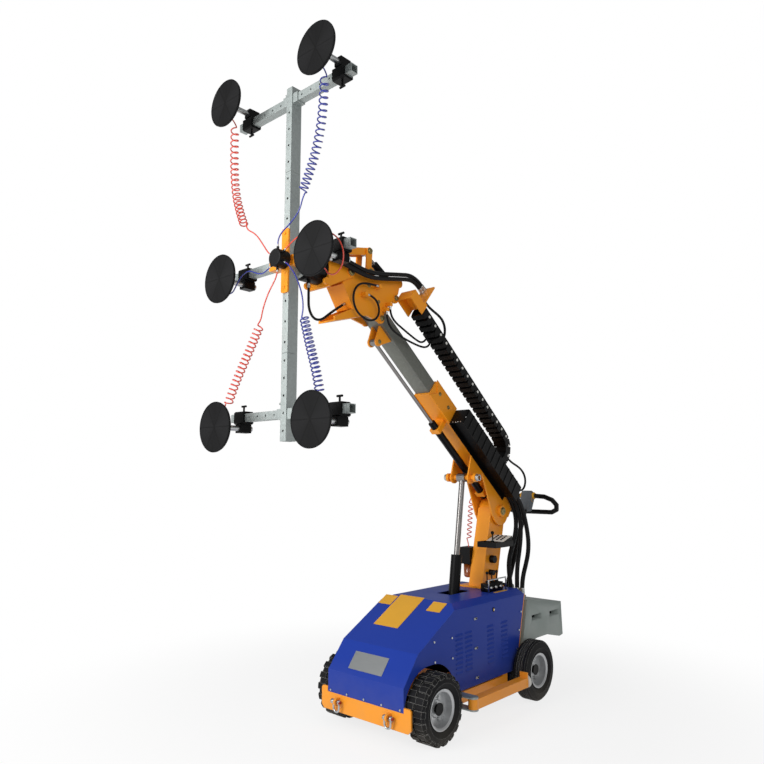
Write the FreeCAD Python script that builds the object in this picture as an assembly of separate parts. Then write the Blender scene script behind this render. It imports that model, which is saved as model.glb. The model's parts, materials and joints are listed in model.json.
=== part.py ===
import FreeCAD, Part
import math
import os

os.makedirs("parts", exist_ok=True)
V = FreeCAD.Vector
ORIGIN = V(0, 0, 0)
ACROSS = V(1, 0, 0)
UPWARD = V(0, 0, 1)

# Sizes are in millimetres and degrees. X runs across the machine, -Y is forward, Z is up,
# Y counts from the front axle and Z from the floor until the finished part is centred.

# Cuts and fits
CUT_OVERRUN = 6.0
PIN_FIT = 0.05
WEAR_FIT = 0.5
RUNNING_GAP = 2.0

# Wheels
TYRE_R = 202.5
WHEELBASE = 1128.0
TYRE_OUT_X = 445.0
FRONT_TYRE_W = 150.0
REAR_TYRE_W = 112.0
BEAD_R = 106.0
SIDEWALL_R = 152.0
LUG_H = 11.0
LUG_COUNT = 18
LUG_SHARE = 0.52
LUG_TOP_SHARE = 0.8
LUG_FOOT_SHARE = 0.9
BEAD_SEAT_SHARE = 0.72
SHOULDER_SHARE = 0.92
CROWN_SHARE = 0.72
LUG_MID_GAP = 10.0
GROOVE_W = 9.0
GROOVE_DEPTH = 6.0
RIM_FLANGE_R = 117.5
RIM_WALL = 6.0
RIM_DISH = 46.0
RIM_EDGE_IN = 20.0
RIM_HUB_R = 46.0
RIM_HUB_LEN = 50.0
STUB_R = 24.0
STUB_OUT_X = 402.0
HUB_CAP_R = 36.0

# Axles and chassis frame
AXLE_R = 45.0
AXLE_HALF = 285.0
REAR_AXLE_HALF = 310.0
GEARBOX_R = 84.0
GEARBOX_HALF = 100.0
MOTOR_R = 68.0
MOTOR_REAR_Y = 208.0
RAIL_X = 120.0
RAIL_W = 60.0
RAIL_Z = 255.0
RAIL_H = 60.0
RAIL_WALL = 6.0
RAIL_FRONT_Y = -180.0
RAIL_REAR_Y = 1460.0
SILL_OUT_X = 310.0
SILL_W = 60.0
SILL_Z = 130.0
SILL_H = 70.0
SILL_TYRE_GAP = 25.5
SILL_REAR_GAP = 20.5
SILL_FRONT_Y = TYRE_R + SILL_TYRE_GAP
SILL_REAR_Y = WHEELBASE - TYRE_R - SILL_REAR_GAP
CROSS_W = 60.0
BULKHEAD_T = 8.0
BULKHEAD_BASE_Z = 205.0
BULKHEAD_IN_X = 75.0
WEIGHT_SEAT_Y = 1315.0
WEIGHT_SEAT_LEN = 135.0

# Bumper and shackles
BUMPER_T = 12.0
BUMPER_TYRE_GAP = 7.5
BUMPER_FRONT_Y = -TYRE_R - BUMPER_TYRE_GAP - BUMPER_T
BUMPER_HALF = 371.0
BUMPER_Z = 105.0
BUMPER_EAR_Z = 241.0
BUMPER_CORNER_R = 22.0
SHACKLE_X = 214.0
SHACKLE_STANDOFF = 24.0
SHACKLE_PIN_Y = BUMPER_FRONT_Y - SHACKLE_STANDOFF
SHACKLE_PIN_Z = 172.0
SHACKLE_WIRE_R = 6.5
SHACKLE_BOW_R = 24.0
SHACKLE_LEG = 34.0
SHACKLE_PIN_R = 8.0
SHACKLE_LUG_T = 14.0
SHACKLE_LUG_R = 22.0

# Hood
LEAN = 14.6
HOOD_HALF = 315.0
HOOD_SHEET = 3.0
HOOD_FRONT_Y = BUMPER_FRONT_Y + RUNNING_GAP
HOOD_NOSE_Z = 346.0
HOOD_BREAK = (-85.0, 512.0)
HOOD_CREST = (343.0, 745.0)
HOOD_REAR_Y = 1150.0
HOOD_EDGE_Z = 713.0
HOOD_FLAT_HALF = 250.0
HOOD_SILL_Z = 211.0
ARCH_GAP = 29.5
ARCH_DROP = 7.5
ARCH_R = TYRE_R + ARCH_GAP
ARCH_Z = TYRE_R - ARCH_DROP
ARCH_Y = (16.0, 60.0)
CYLINDER_SLOT_HALF = 62.0
CYLINDER_SLOT_Y = 590.0
CYLINDER_SLOT_LEN = 235.0
MAST_NOTCH_Y = 950.0
LOUVRE_COLUMN_Y = (298.0, 404.0, 660.0, 835.0)
LOUVRE_LEN = 74.0
LOUVRE_ROWS = 9
LOUVRE_Z = 318.0
LOUVRE_PITCH = 29.0
LOUVRE_RISE = 15.0
LOUVRE_DEPTH = 6.0
BOLT_R = 7.0
BOLT_H = 5.0
SIDE_BOLTS = ((72.0, 556.0), (76.0, 437.0), (254.0, 551.0), (257.0, 428.0),
              (524.0, 630.0), (523.0, 443.0), (535.0, 253.0), (743.0, 657.0))
REAR_BOLT_COUNT = 4
REAR_BOLT_Z = 226.0
REAR_BOLT_PITCH = 123.0
REAR_BOLT_INSET = 24.0
NOSE_BOLT_COUNT = 5
NOSE_BOLT_Z = 224.0
NOSE_BOLT_HALF = 290.0
PLATE_T = 2.0
MAIN_PLATE_X = (-190.0, 20.0)
MAIN_PLATE_UP = (176.0, 496.0)
SIDE_PLATE_HALF = 55.0
SIDE_PLATE_X = (-255.0, 168.0)
SIDE_PLATE_UP = (380.0, 476.0)
NOSE_PLATE_X = (-160.0, 122.0)
NOSE_PLATE_UP = (36.0, 152.0)
DECK_PLATE = (226.0, 880.0, 250.0, 1030.0)

# Internals
BATTERY = (230.0, 300.0, 560.0, 215.0)
BATTERY_COUNT = 2
TANK = (100.0, 250.0, 640.0, 840.0, 220.0)
PUMP_R = 70.0

# Counterweight and tiller
WEIGHT_HALF = 322.0
WEIGHT_OUTLINE = ((1178.0, 668.0), (1690.0, 592.0), (1704.0, 342.0), (1650.0, 335.0),
                  (1459.0, 378.0), (1309.0, 378.0), (1102.0, 350.0))
WEIGHT_SLOT = (140.0, 40.0, 60.0)
WEIGHT_SLOT_AT = ((1308.0, 528.0), (1574.0, 520.0))
TILLER_PIVOT = (1430.0, 700.0)
TILLER_HEAD = (1748.0, 1325.0)
TILLER_TUBE_R = 20.0
TILLER_LUG_X = 34.0
TILLER_LUG_T = 12.0
TILLER_LUG_R = 26.0
TILLER_PIN_R = 10.0
TILLER_HEAD_HALF = 48.0
TILLER_HEAD_LEN = 120.0
TILLER_HEAD_T = 60.0
TILLER_GRIP_R = 19.0
TILLER_LOOP_REACH = 121.04
TILLER_LOOP = ((46.0, 90.0, 0), (150.0, 86.0, 6.0), (215.0, 68.0, 28.0), (244.0, 40.0, 62.0),
               (232.0, 14.0, 98.0), (180.0, 0, TILLER_LOOP_REACH))

# Mast and boom pivot
PIVOT_Y = 1225.0
PIVOT_Z = 1300.0
MAST_HALF = 60.0
MAST_DEPTH = 194.0
MAST_WALL = 8.0
MAST_HEAD_R = 90.0
PIVOT_PIN_R = 26.0
PIVOT_PIN_HALF = 104.0
PIVOT_CAP_R = 44.0
MAST_FOOT = (135.0, 950.0, 1160.0, 10.0)

# Controls
TRAY = (60.0, 222.0, 932.0, 1172.0, 1048.0, 40.0)
TRAY_WALL = 4.0
STICK_AT = (150.0, 1000.0)
STICK_R = 7.0
STICK_LEN = 70.0
STICK_STEM_SHARE = 0.7
STICK_BALL_R = 13.0
SOCKET_AT = (1112.0, 945.0)
SOCKET_R = 28.0
KNOB_AT = (1092.0, 850.0)
KNOB_R = 20.0
CONTROL_REACH = 36.0
FILTER_BOX = (100.0, 1005.0, 1120.0, 905.0, 1028.0)
BOWL_R = 40.0
BOWL_H = 104.0
VALVE = (140.0, 205.0, 850.0, 1040.0, 58.0)
LEVER_COUNT = 3
LEVER_PITCH = 62.0
LEVER_R = 4.5
LEVER_LEN = 62.0
LEVER_HUB_R = 9.0
LEVER_HUB_W = 24.0
LEVER_KNOB_R = 11.0
GUARD_R = 5.0
GUARD_X = 218.0
GUARD_RISE = 88.0
GUARD_OVER = 18.0

# Stabilisers
STAB_PIVOT_GAP = 75.5
STAB_PIVOT = (455.0, TYRE_R + STAB_PIVOT_GAP)
STAB_PIN_R = 11.0
STAB_EYE_R = 32.0
STAB_ARM = 60.0
STAB_Z = 151.0
STAB_WALL = 5.0
STAB_CAP_T = 9.0
STAB_CAP_RISE = 34.0
STAB_LUG_T = 10.0
ROLLER_R = 42.0
ROLLER_W = 24.0
ROLLER_PIN_R = 9.0
ROLLER_TYRE_GAP = 12.5
STAB_END_Y = WHEELBASE - TYRE_R - ROLLER_TYRE_GAP - RUNNING_GAP - ROLLER_W - STAB_CAP_T
LATCH_BACK = 78.0
LATCH_AT = (398.0, STAB_END_Y - LATCH_BACK)
LATCH_R = 9.0
LATCH_H = 105.0

# Boom, measured along it (u) from the pivot and square to it (n)
BOOM_ANGLE = 39.4
OUTER_HALF = 70.0
OUTER_N = (104.0, 228.0)
OUTER_U = (-100.0, 1200.0)
OUTER_WALL = 6.0
INNER_HALF = 60.0
INNER_N = (116.0, 216.0)
INNER_U = (480.0, 2000.0)
INNER_WALL = 6.0
COLLAR_U = 905.0
COLLAR_T = 8.0
COLLAR_LIP = 10.0
COLLAR_NOTCH = 60.0
WEAR_LEN = 90.0
CHEEK_T = 12.0
CHEEK_R = 108.0
CHEEK_OUTLINE = ((-118.0, 228.0), (430.0, 228.0), (430.0, 104.0), (215.0, -12.0),
                 (62.0, -96.0), (-118.0, 30.0))
LIFT_PIN = (462.0, -46.0)
LIFT_PIN_R = 18.0
LIFT_PIN_HALF = 132.0
LIFT_LUG_R = 44.0
LIFT_LUG_HALF = 105.0
LIFT_RING_R = 32.0
LIFT_RING_W = 22.0

# Lift cylinder
LIFT_LEAN = 8.7
LIFT_EYE_R = 32.0
LIFT_EYE_HALF = 36.0
LIFT_ROD_R = 21.0
LIFT_ROD_LEN = 900.0
LIFT_BARREL_R = 40.0
LIFT_BORE_R = 33.0
LIFT_BARREL_TOP = 563.0
LIFT_BASE = 1327.0
LIFT_GLAND = 40.0
LIFT_PISTON = 34.0
LIFT_CAP = 46.0
TRUNNION_R = 14.0
TRUNNION_HALF = 119.0
TRUNNION_PLATE_T = 12.0
TRUNNION_WINDOW = (124.0, 120.0)
TRUNNION_PLATE = (180.0, 170.0)

# Telescope cylinder
TELE_N = 24.0
TELE_BARREL_U = (150.0, 990.0)
TELE_BARREL_R = 27.0
TELE_BORE_R = 21.0
TELE_ROD_R = 12.5
TELE_ROD_U = 880.0
TELE_PIN_U = 1774.0
TELE_PIN_R = 12.0
TELE_EYE_R = 24.0
TELE_EYE_HALF = 22.0
TELE_GLAND = 34.0
TELE_LUG_X = 26.0
TELE_LUG_T = 12.0
TELE_LUG_R = 30.0
TELE_LUG_U = (1690.0, 1836.0)
TELE_SADDLE_U = (180.0, 900.0)
TELE_SADDLE_LEN = 40.0
TELE_SADDLE_HALF = 38.0

# Cable tray and energy chain
DUCT_X = (82.0, 208.0)
DUCT_U = (30.0, 910.0)
DUCT_N = (80.0, 210.0)
DUCT_FLOOR_N = 112.0
DUCT_WALL = 4.0
DUCT_COVER = 60.0
DUCT_RIB_COUNT = 11
DUCT_RIB = (10.0, 4.0)
DUCT_FEET_U = (610.0, 810.0)
CHAIN_X = (92.0, 200.0)
CHAIN_H = 64.0
CHAIN_PITCH = 54.0
CHAIN_BEND_R = 118.0
CHAIN_SEAT = 0.3
CHAIN_BEND_U = 440.0
CHAIN_FIXED_U = 872.0
CHAIN_END_U = 1706.0
CHAIN_WALL = 9.0
CHAIN_JOINT_GAP = 0.6
CHAIN_EAR = 9.0

# Boom head, in machine Y and Z
HEAD_T = 14.0
HEAD_OUTLINE = ((53.0, 2892.0), (24.0, 2790.0), (-64.0, 2700.0), (-118.0, 2625.0), (-150.0, 2562.0),
                (-285.0, 2588.0), (-566.0, 2506.0), (-566.0, 2536.0), (-408.0, 2612.0),
                (-500.0, 2752.0), (-484.0, 2842.0), (-440.0, 2870.0), (-341.0, 2842.0), (-154.0, 2850.0))
HEAD_PIN_R = 16.0
HEAD_PIN_BOSS_R = 34.0
HEAD_PINS = ((-150.0, 2592.0), (-6.0, 2755.0))
HEAD_PIN_HEAD = 10.0
HEAD_WEB_T = 10.0
CHAIN_BOX_U = (1706.0, 1858.0)
CHAIN_BOX_N = (346.0, 424.0)
CHAIN_BOX_T = 8.0
UNION_PLATE = (96.0, 200.0, 1740.0, 12.0, 176.0)

# Tilt linkage, in machine Y and Z: rocker foot, rocker length and the tilt bracket pivot
ROCKER_FOOT = (-244.0, 2884.0)
ROCKER_RUN = (12.0, 151.0)
TILT_PIVOT = (-450.0, 2838.0)
TILT_PIN_R = 13.0
LINK_EYE_R = 24.0
LINK_BRIDGE_SHARES = (0.3, 0.55)
ROCKER_X = (40.0, 52.0)
LINK_X = (21.0, 36.0)
TILT_BASE = (36.0, 2870.0)
TILT_BARREL_R = 25.0
TILT_BORE_R = 19.0
TILT_ROD_R = 12.0
TILT_EYE_HALF = 18.0
TILT_EXPOSED = 112.0
TILT_GLAND = 24.0
TILT_BASE_END = 24.0
TILT_PISTON_BACK = 63.0
TILT_CAP = 14.0
TILT_WASHER_R = 40.0
TILT_WASHER_T = 8.0
BRACKET_X = (78.0, 90.0)
BRACKET_FACE_Y = -640.0
BRACKET_PLATE_T = 16.0
BRACKET_HALF = 96.0
BRACKET_Z = (2704.0, 3008.0)
BRACKET_HOOK = (-652.0, 2734.0)
BRACKET_HOOK_R = 22.0
TURN_Z = 2820.0
ROTATOR_R = 92.0
ROTATOR_FRONT_Y = -788.0
PORT_BLOCK = (-745.0, -690.0, 2848.0, 2910.0)
TURN_SHAFT_STOP_SHARE = 1.5
TURN_SHAFT_R = 32.0
TURN_FLANGE_R = 84.0
TURN_FLANGE_T = 24.0

# Vacuum frame
BEAM_HALF = 25.0
BEAM_Y = (-895.0, -820.0)
BEAM_Z = (1763.0, 3911.0)
BEAM_JOINT_Z = (2270.0, 3370.0)
BEAM_WALL = 4.0
BEAM_HOLE_R = 7.0
UPPER_HOLES = (3434.0, 105.0)
UPPER_HOLE_COUNT = 4
MIDDLE_HOLES = ((2334.0, 122.0), (3079.0, 125.0))
MIDDLE_HOLE_COUNT = 3
LOWER_HOLES = (1822.0, 101.0)
LOWER_HOLE_COUNT = 5
CROSS_HALF = 515.0
CROSS_SIZE = 50.0
CROSS_WALL = 4.0
CROSS_FIT = 0.2
CROSS_HOLE_R = 6.0
CROSS_HOLE_PITCH = 79.0
CROSS_HOLE_FIRST = 98.0
CROSS_HOLE_COUNT = 4
SLEEVE_WALL = 6.0
SLEEVE_OUT = 66.0
MID_SLEEVE_OUT = 165.0
STRAP_HALF = 30.0
STRAP_T = 12.0
STRAP_HALF_H = 194.0
STRAP_CORNER_R = 12.0
MANIFOLD_R = 54.0
MANIFOLD_LEN = 78.0
PORT_R = 8.0
PORT_LEN = 16.0
PORT_COUNT = 6
PORT_INSET = 26.0
PAD_X = 420.0
PAD_Z = (3899.0, 2756.0, 1855.0)
STEM_DROP = 64.0
PAD_FACE_Y = -1071.0
PAD_R = 150.0
PAD_LIP = 9.0
PAD_BACK = 36.0
PAD_HUB_R = 34.0
PAD_HUB_LEN = 18.0
PAD_PORT_DROP = 84.0
STEM_R = 17.0
STEM_REAR_Y = -800.0
CLAMP_HALF = 46.0
CLAMP_SIZE = 78.0
CLAMP_BOSS_HALF = 27.0
CLAMP_CHAMFER = 8.0
T_BOLT_R = 6.0
T_BOLT_LEN = 34.0
T_HANDLE_R = 6.5
T_HANDLE_HALF = 20.0

# Vacuum hoses: six-sided section, and for each coil its pad row, side, manifold port and axis ends
TUBE_R = 4.0
COIL_SIDES = 6
COIL_R = 24.0
COIL_TURNS = 12
COIL_TAIL = 30.0
LEAD = 16.0
STRAIGHT_ENOUGH = 0.001
STRAIGHT_SHARE = 1e-9
CORD_TURN_SHARE = 0.45
PAD_PORT_SIDES = (-1, -1, 1)
COILS = {
    "red": ((0, -1, 1, ((-425.0, -985.0, 3760.0), (-298.0, -985.0, 3090.0))),
            (2, -1, 3, ((-405.0, -985.0, 1996.0), (-122.0, -985.0, 2427.0)))),
    "blue": ((0, 1, 0, ((408.0, -985.0, 3760.0), (239.0, -985.0, 3148.0))),
             (2, 1, 4, ((402.0, -985.0, 1996.0), (268.0, -985.0, 2424.0)))),
}
LINKS = {
    "red": (5, 1, ((134.0, -959.0, 2897.4), (232.0, -966.0, 2912.0), (334.0, -970.0, 2902.0),
                   (436.0, -972.0, 2874.0), (520.0, -972.0, 2812.0), (560.0, -972.0, 2732.0),
                   (548.0, -970.0, 2656.0), (490.0, -968.0, 2618.0), (434.0, -970.0, 2636.0),
                   (420.0, -975.0, 2672.0))),
    "blue": (2, -1, ((-122.0, -959.0, 2750.0), (-186.0, -962.0, 2764.0), (-260.0, -966.0, 2800.0),
                     (-330.0, -968.0, 2782.0), (-380.0, -968.0, 2732.0), (-420.0, -975.0, 2672.0))),
}
MAST_COIL_TURNS = 7
MAST_COIL_R = 17.0
MAST_COIL = ((-112.0, 1072.0, 1085.0), (-116.0, 1112.0, 1362.0))
MAST_COIL_END = (156.0, 40.0)

# Hydraulic hoses
HOSE_R = 17.0
TAIL_X = (104.0, 142.0, 180.0)
TAIL_ROUTES = (
    ((1310.0, 665.0), (1310.0, 740.0), (1290.0, 826.0), (1290.0, 914.0), (1326.0, 998.0), (1380.0, 1078.0),
     (1414.0, 1170.0), (1408.0, 1265.0), (1366.0, 1344.0)),
    ((1340.0, 665.0), (1340.0, 770.0), (1352.0, 880.0), (1388.0, 985.0), (1414.0, 1090.0), (1420.0, 1190.0),
     (1402.0, 1275.0), (1366.0, 1344.0)),
    ((1350.0, 665.0), (1350.0, 735.0), (1374.0, 815.0), (1418.0, 890.0), (1456.0, 970.0), (1466.0, 1058.0),
     (1450.0, 1145.0), (1424.0, 1228.0), (1398.0, 1290.0), (1366.0, 1344.0)),
)
TAIL_N = 136.0
TAIL_RUN_IN = 28.0
TAIL_CLAMP_U = 90.0
TAIL_CLAMP_H = 90.0
TAIL_GLAND_RIM = 4.0
SMALL_HOSE_R = 8.0
BUNDLE_R = 14.0
BUNDLE_END_X = 122.0
BUNDLE_RUN = 45.0
BUNDLE = (
    ("bundle, lower", 550.0, ((145.0, 2886.0), (87.0, 2896.0), (-10.0, 2878.0), (-125.0, 2855.0),
                              (-240.0, 2833.0), (-350.0, 2828.0), (-455.0, 2845.0), (-550.0, 2862.0),
                              (-620.0, 2864.0), (-690.0, 2864.0))),
    ("bundle, upper", 580.0, ((155.0, 2914.5), (87.0, 2926.5), (-10.0, 2909.0), (-125.0, 2886.0),
                              (-240.0, 2864.0), (-350.0, 2859.0), (-455.0, 2876.0), (-550.0, 2892.0),
                              (-620.0, 2894.0), (-690.0, 2894.0))),
)
CHAIN_HOSE_R = 9.0
CHAIN_HOSE_X = 150.0
CHAIN_HOSE = ((490.0, 1690.0), (499.0, 1639.0), (518.0, 1586.0), (537.0, 1534.0), (542.0, 1488.0),
              (526.0, 1444.0), (490.0, 1412.0), (443.0, 1400.0))
PLATE_LOOP_R = 7.0
PLATE_LOOP_X = 108.0
PLATE_LOOP = ((-330.0, 2790.0), (-415.6, 2754.6), (-451.0, 2669.0), (-415.6, 2583.4), (-330.0, 2548.0),
              (-282.0, 2548.0), (-223.3, 2572.3), (-199.0, 2631.0), (-223.3, 2689.7), (-282.0, 2714.0))
PLATE_PORT = 12.0
PLATE_PORTS = ((-200.0, 2790.0), (-330.0, 2714.0))
HANGING_PORTS = ((-130.0, 2650.0), (-96.0, 2690.0))
HANGING_HOSES = (
    ("hanging hose, lower", 1451.0, ((-130.0, 2604.0), (-114.0, 2560.0), (-78.0, 2524.0), (-20.0, 2500.0),
                                     (60.0, 2479.0), (140.0, 2463.0), (210.0, 2453.0), (262.0, 2452.0))),
    ("hanging hose, upper", 1500.0, ((-96.0, 2648.0), (-80.0, 2608.0), (-40.0, 2576.0), (23.0, 2550.0),
                                     (100.0, 2519.0), (170.0, 2493.0), (222.0, 2480.0))),
)
HANGING_RUN = 30.0
BEND_HOSE_R = 8.0
BEND_HOSE_X = 190.0
BEND_HOSE = ((291.0, 279.0), (235.0, 290.0), (170.0, 316.0), (110.0, 335.0), (50.0, 340.0), (-6.6, 316.6),
             (-30.0, 260.0), (-6.6, 203.4), (50.0, 180.0), (TAIL_CLAMP_U, 180.0))
RISER_X = 20.0
RISER_Y = -735.0
RISER_ROUTE = ((-735.0, 2632.0), (-732.0, 2556.0), (-692.0, 2502.0), (-628.0, 2506.0), (-562.0, 2558.0))
RISER_RUN_IN = 78.0
RISER_END_SHARE = 0.25


# Working shapes
def block(x0, x1, y0, y1, z0, z1):
    return Part.makeBox(x1 - x0, y1 - y0, z1 - z0, V(x0, y0, z0))


def rod(start, end, radius):
    return Part.makeCylinder(radius, (end - start).Length, start, end - start)


def ring(start, end, outer, inner):
    along = (end - start).normalize() * CUT_OVERRUN
    return rod(start, end, outer).cut(rod(start - along, end + along, inner))


def across(y, z, x0, x1, radius):
    return rod(V(x0, y, z), V(x1, y, z), radius)


def prism(outline, x0, x1):
    points = [V(x0, y, z) for y, z in outline]
    return Part.Face(Part.makePolygon(points + points[:1])).extrude(V(x1 - x0, 0, 0))


def lathe(profile, degrees=360.0):
    points = [V(x, 0, r) for x, r in profile]
    return Part.Face(Part.makePolygon(points + points[:1])).revolve(ORIGIN, ACROSS, degrees)


def fuse(shapes):
    first, rest = shapes[0], list(shapes[1:])
    return first.multiFuse(rest).removeSplitter() if rest else first


def cut(shape, tools):
    return shape.cut(Part.makeCompound(list(tools)))


def mirrored(shape):
    return shape.mirror(ORIGIN, ACROSS)


def both(shape):
    return [shape, mirrored(shape)]


def moved(shape, x, y, z):
    copy = shape.copy()
    copy.translate(V(x, y, z))
    return copy


def square_tube(x0, x1, y0, y1, z0, z1, wall, axis):
    inner = {"x": (CUT_OVERRUN, -wall, -wall), "y": (-wall, CUT_OVERRUN, -wall),
             "z": (-wall, -wall, CUT_OVERRUN)}[axis]
    core = block(x0 - inner[0], x1 + inner[0], y0 - inner[1], y1 + inner[1],
                 z0 - inner[2], z1 + inner[2])
    return block(x0, x1, y0, y1, z0, z1).cut(core)


def hexagon_head(radius, height):
    step = math.radians(360.0 / 6)
    points = [V(0, radius * math.cos(i * step), radius * math.sin(i * step)) for i in range(6)]
    return Part.Face(Part.makePolygon(points + points[:1])).extrude(V(height, 0, 0))


def turned_to(shape, direction):
    copy = shape.copy()
    copy.Placement = FreeCAD.Placement(ORIGIN, FreeCAD.Rotation(ACROSS, direction)).multiply(copy.Placement)
    return copy


def leaned(shape, degrees, y, z):
    copy = shape.copy()
    copy.rotate(ORIGIN, ACROSS, -degrees)
    copy.translate(V(0, y, z))
    return copy


def on_boom(shape):
    return leaned(shape, BOOM_ANGLE, PIVOT_Y, PIVOT_Z)


def boom_block(x0, x1, u, n):
    return block(x0, x1, -u[1], -u[0], n[0], n[1])


def boom_prism(outline, x0, x1):
    return prism([(-u, n) for u, n in outline], x0, x1)


def boom_point(x, u, n):
    a = math.radians(BOOM_ANGLE)
    return V(x, PIVOT_Y - u * math.cos(a) + n * math.sin(a), PIVOT_Z + u * math.sin(a) + n * math.cos(a))


def lean_y(y_top, z_top, z):
    return y_top - (z_top - z) * math.tan(math.radians(LEAN))


# Wheels
def tyre(width, lugged):
    half, crown = width / 2, TYRE_R - (LUG_H if lugged else 0)
    shoulder = crown - LUG_H
    seat = half * BEAD_SEAT_SHARE
    side = [(seat, BEAD_R), (seat, RIM_FLANGE_R), (half, SIDEWALL_R), (half * SHOULDER_SHARE, shoulder)]
    grooves = []
    if not lugged:
        for at in (GROOVE_W * 2, 0.0):
            grooves += [(at + GROOVE_W / 2, crown), (at + GROOVE_W / 2, crown - GROOVE_DEPTH),
                        (at - GROOVE_W / 2, crown - GROOVE_DEPTH), (at - GROOVE_W / 2, crown)]
        grooves = grooves[:6]
    right = side + [(half * CROWN_SHARE, crown)] + grooves
    left = [(-x, r) for x, r in reversed(right)]
    body = lathe(right + left)
    if not lugged:
        return body
    step = 360.0 / LUG_COUNT
    inner = LUG_MID_GAP / 2
    lug = lathe([(inner, crown - LUG_H), (inner, TYRE_R), (half * LUG_TOP_SHARE, TYRE_R),
                 (half, shoulder), (half * LUG_FOOT_SHARE, shoulder - LUG_H)], step * LUG_SHARE)
    lugs = []
    for i in range(LUG_COUNT):
        for side_shape, lead in ((lug, 0.0), (mirrored(lug), step / 2)):
            turned = side_shape.copy()
            turned.rotate(ORIGIN, ACROSS, i * step + lead)
            lugs.append(turned)
    return fuse([body] + lugs)


def rim(width):
    half, well, bore = width / 2, BEAD_R - RIM_WALL, STUB_R + PIN_FIT
    seat = half * BEAD_SEAT_SHARE
    lip, disc = seat + RIM_WALL, half - RIM_EDGE_IN - RIM_DISH
    back, hub_end = disc - RIM_WALL, disc - RIM_HUB_LEN
    outside = [(-lip, RIM_FLANGE_R), (-seat, BEAD_R), (seat, BEAD_R), (lip, RIM_FLANGE_R)]
    front = [(lip, RIM_FLANGE_R - RIM_WALL), (seat, well), (disc, well), (disc, RIM_HUB_R + RIM_WALL),
             (disc + RIM_WALL, RIM_HUB_R), (disc + RIM_WALL, bore)]
    rear = [(hub_end, bore), (hub_end, RIM_HUB_R), (back, RIM_HUB_R + RIM_WALL),
            (back, well), (-seat, well),
            (-lip, RIM_FLANGE_R - RIM_WALL)]
    return lathe(outside + front + rear)


def wheels():
    nodes = {}
    axle_rows = (("front", FRONT_TYRE_W, 0.0, True), ("rear", REAR_TYRE_W, WHEELBASE, False))
    for name, width, y, lugged in axle_rows:
        x = TYRE_OUT_X - width / 2
        rubber, metal = moved(tyre(width, lugged), x, y, TYRE_R), moved(rim(width), x, y, TYRE_R)
        nodes[name + "_tyre_right"], nodes[name + "_rim_right"] = rubber, metal
        nodes[name + "_tyre_left"], nodes[name + "_rim_left"] = mirrored(rubber), mirrored(metal)
    return nodes


# Axles and frame
def stubs(y, inner):
    stub = fuse([across(y, TYRE_R, inner, STUB_OUT_X, STUB_R),
                 across(y, TYRE_R, STUB_OUT_X, STUB_OUT_X + RIM_WALL, HUB_CAP_R)])
    return both(stub)


def drive_axle():
    tube = across(0, TYRE_R, -AXLE_HALF, AXLE_HALF, AXLE_R)
    box = across(0, TYRE_R, -GEARBOX_HALF, GEARBOX_HALF, GEARBOX_R)
    motor = rod(V(0, 0, TYRE_R), V(0, MOTOR_REAR_Y, TYRE_R), MOTOR_R)
    return fuse([tube, box, motor] + stubs(0, AXLE_HALF - CUT_OVERRUN))


def rear_axle():
    tube = across(WHEELBASE, TYRE_R, -REAR_AXLE_HALF, REAR_AXLE_HALF, AXLE_R)
    return fuse([tube] + stubs(WHEELBASE, REAR_AXLE_HALF - CUT_OVERRUN))


def trunnion_plate():
    y, z = lift_base_yz()
    half_y, half_z = TRUNNION_PLATE[0] / 2, TRUNNION_PLATE[1] / 2
    plate = block(RAIL_X - TRUNNION_PLATE_T, RAIL_X, y - half_y, y + half_y, z - half_z, RAIL_Z + RAIL_H)
    window_y, window_z = TRUNNION_WINDOW[0] / 2, TRUNNION_WINDOW[1] / 2
    return plate.cut(block(RAIL_X - TRUNNION_PLATE_T - CUT_OVERRUN, RAIL_X + CUT_OVERRUN,
                           y - window_y, y + window_y, z - window_z, z + window_z))


def rail_window():
    y, z = lift_base_yz()
    half_y, half_z = TRUNNION_WINDOW[0] / 2, TRUNNION_WINDOW[1] / 2
    return block(RAIL_X - CUT_OVERRUN, RAIL_X + RAIL_W / 2, y - half_y, y + half_y, z - half_z, z + half_z)


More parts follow.
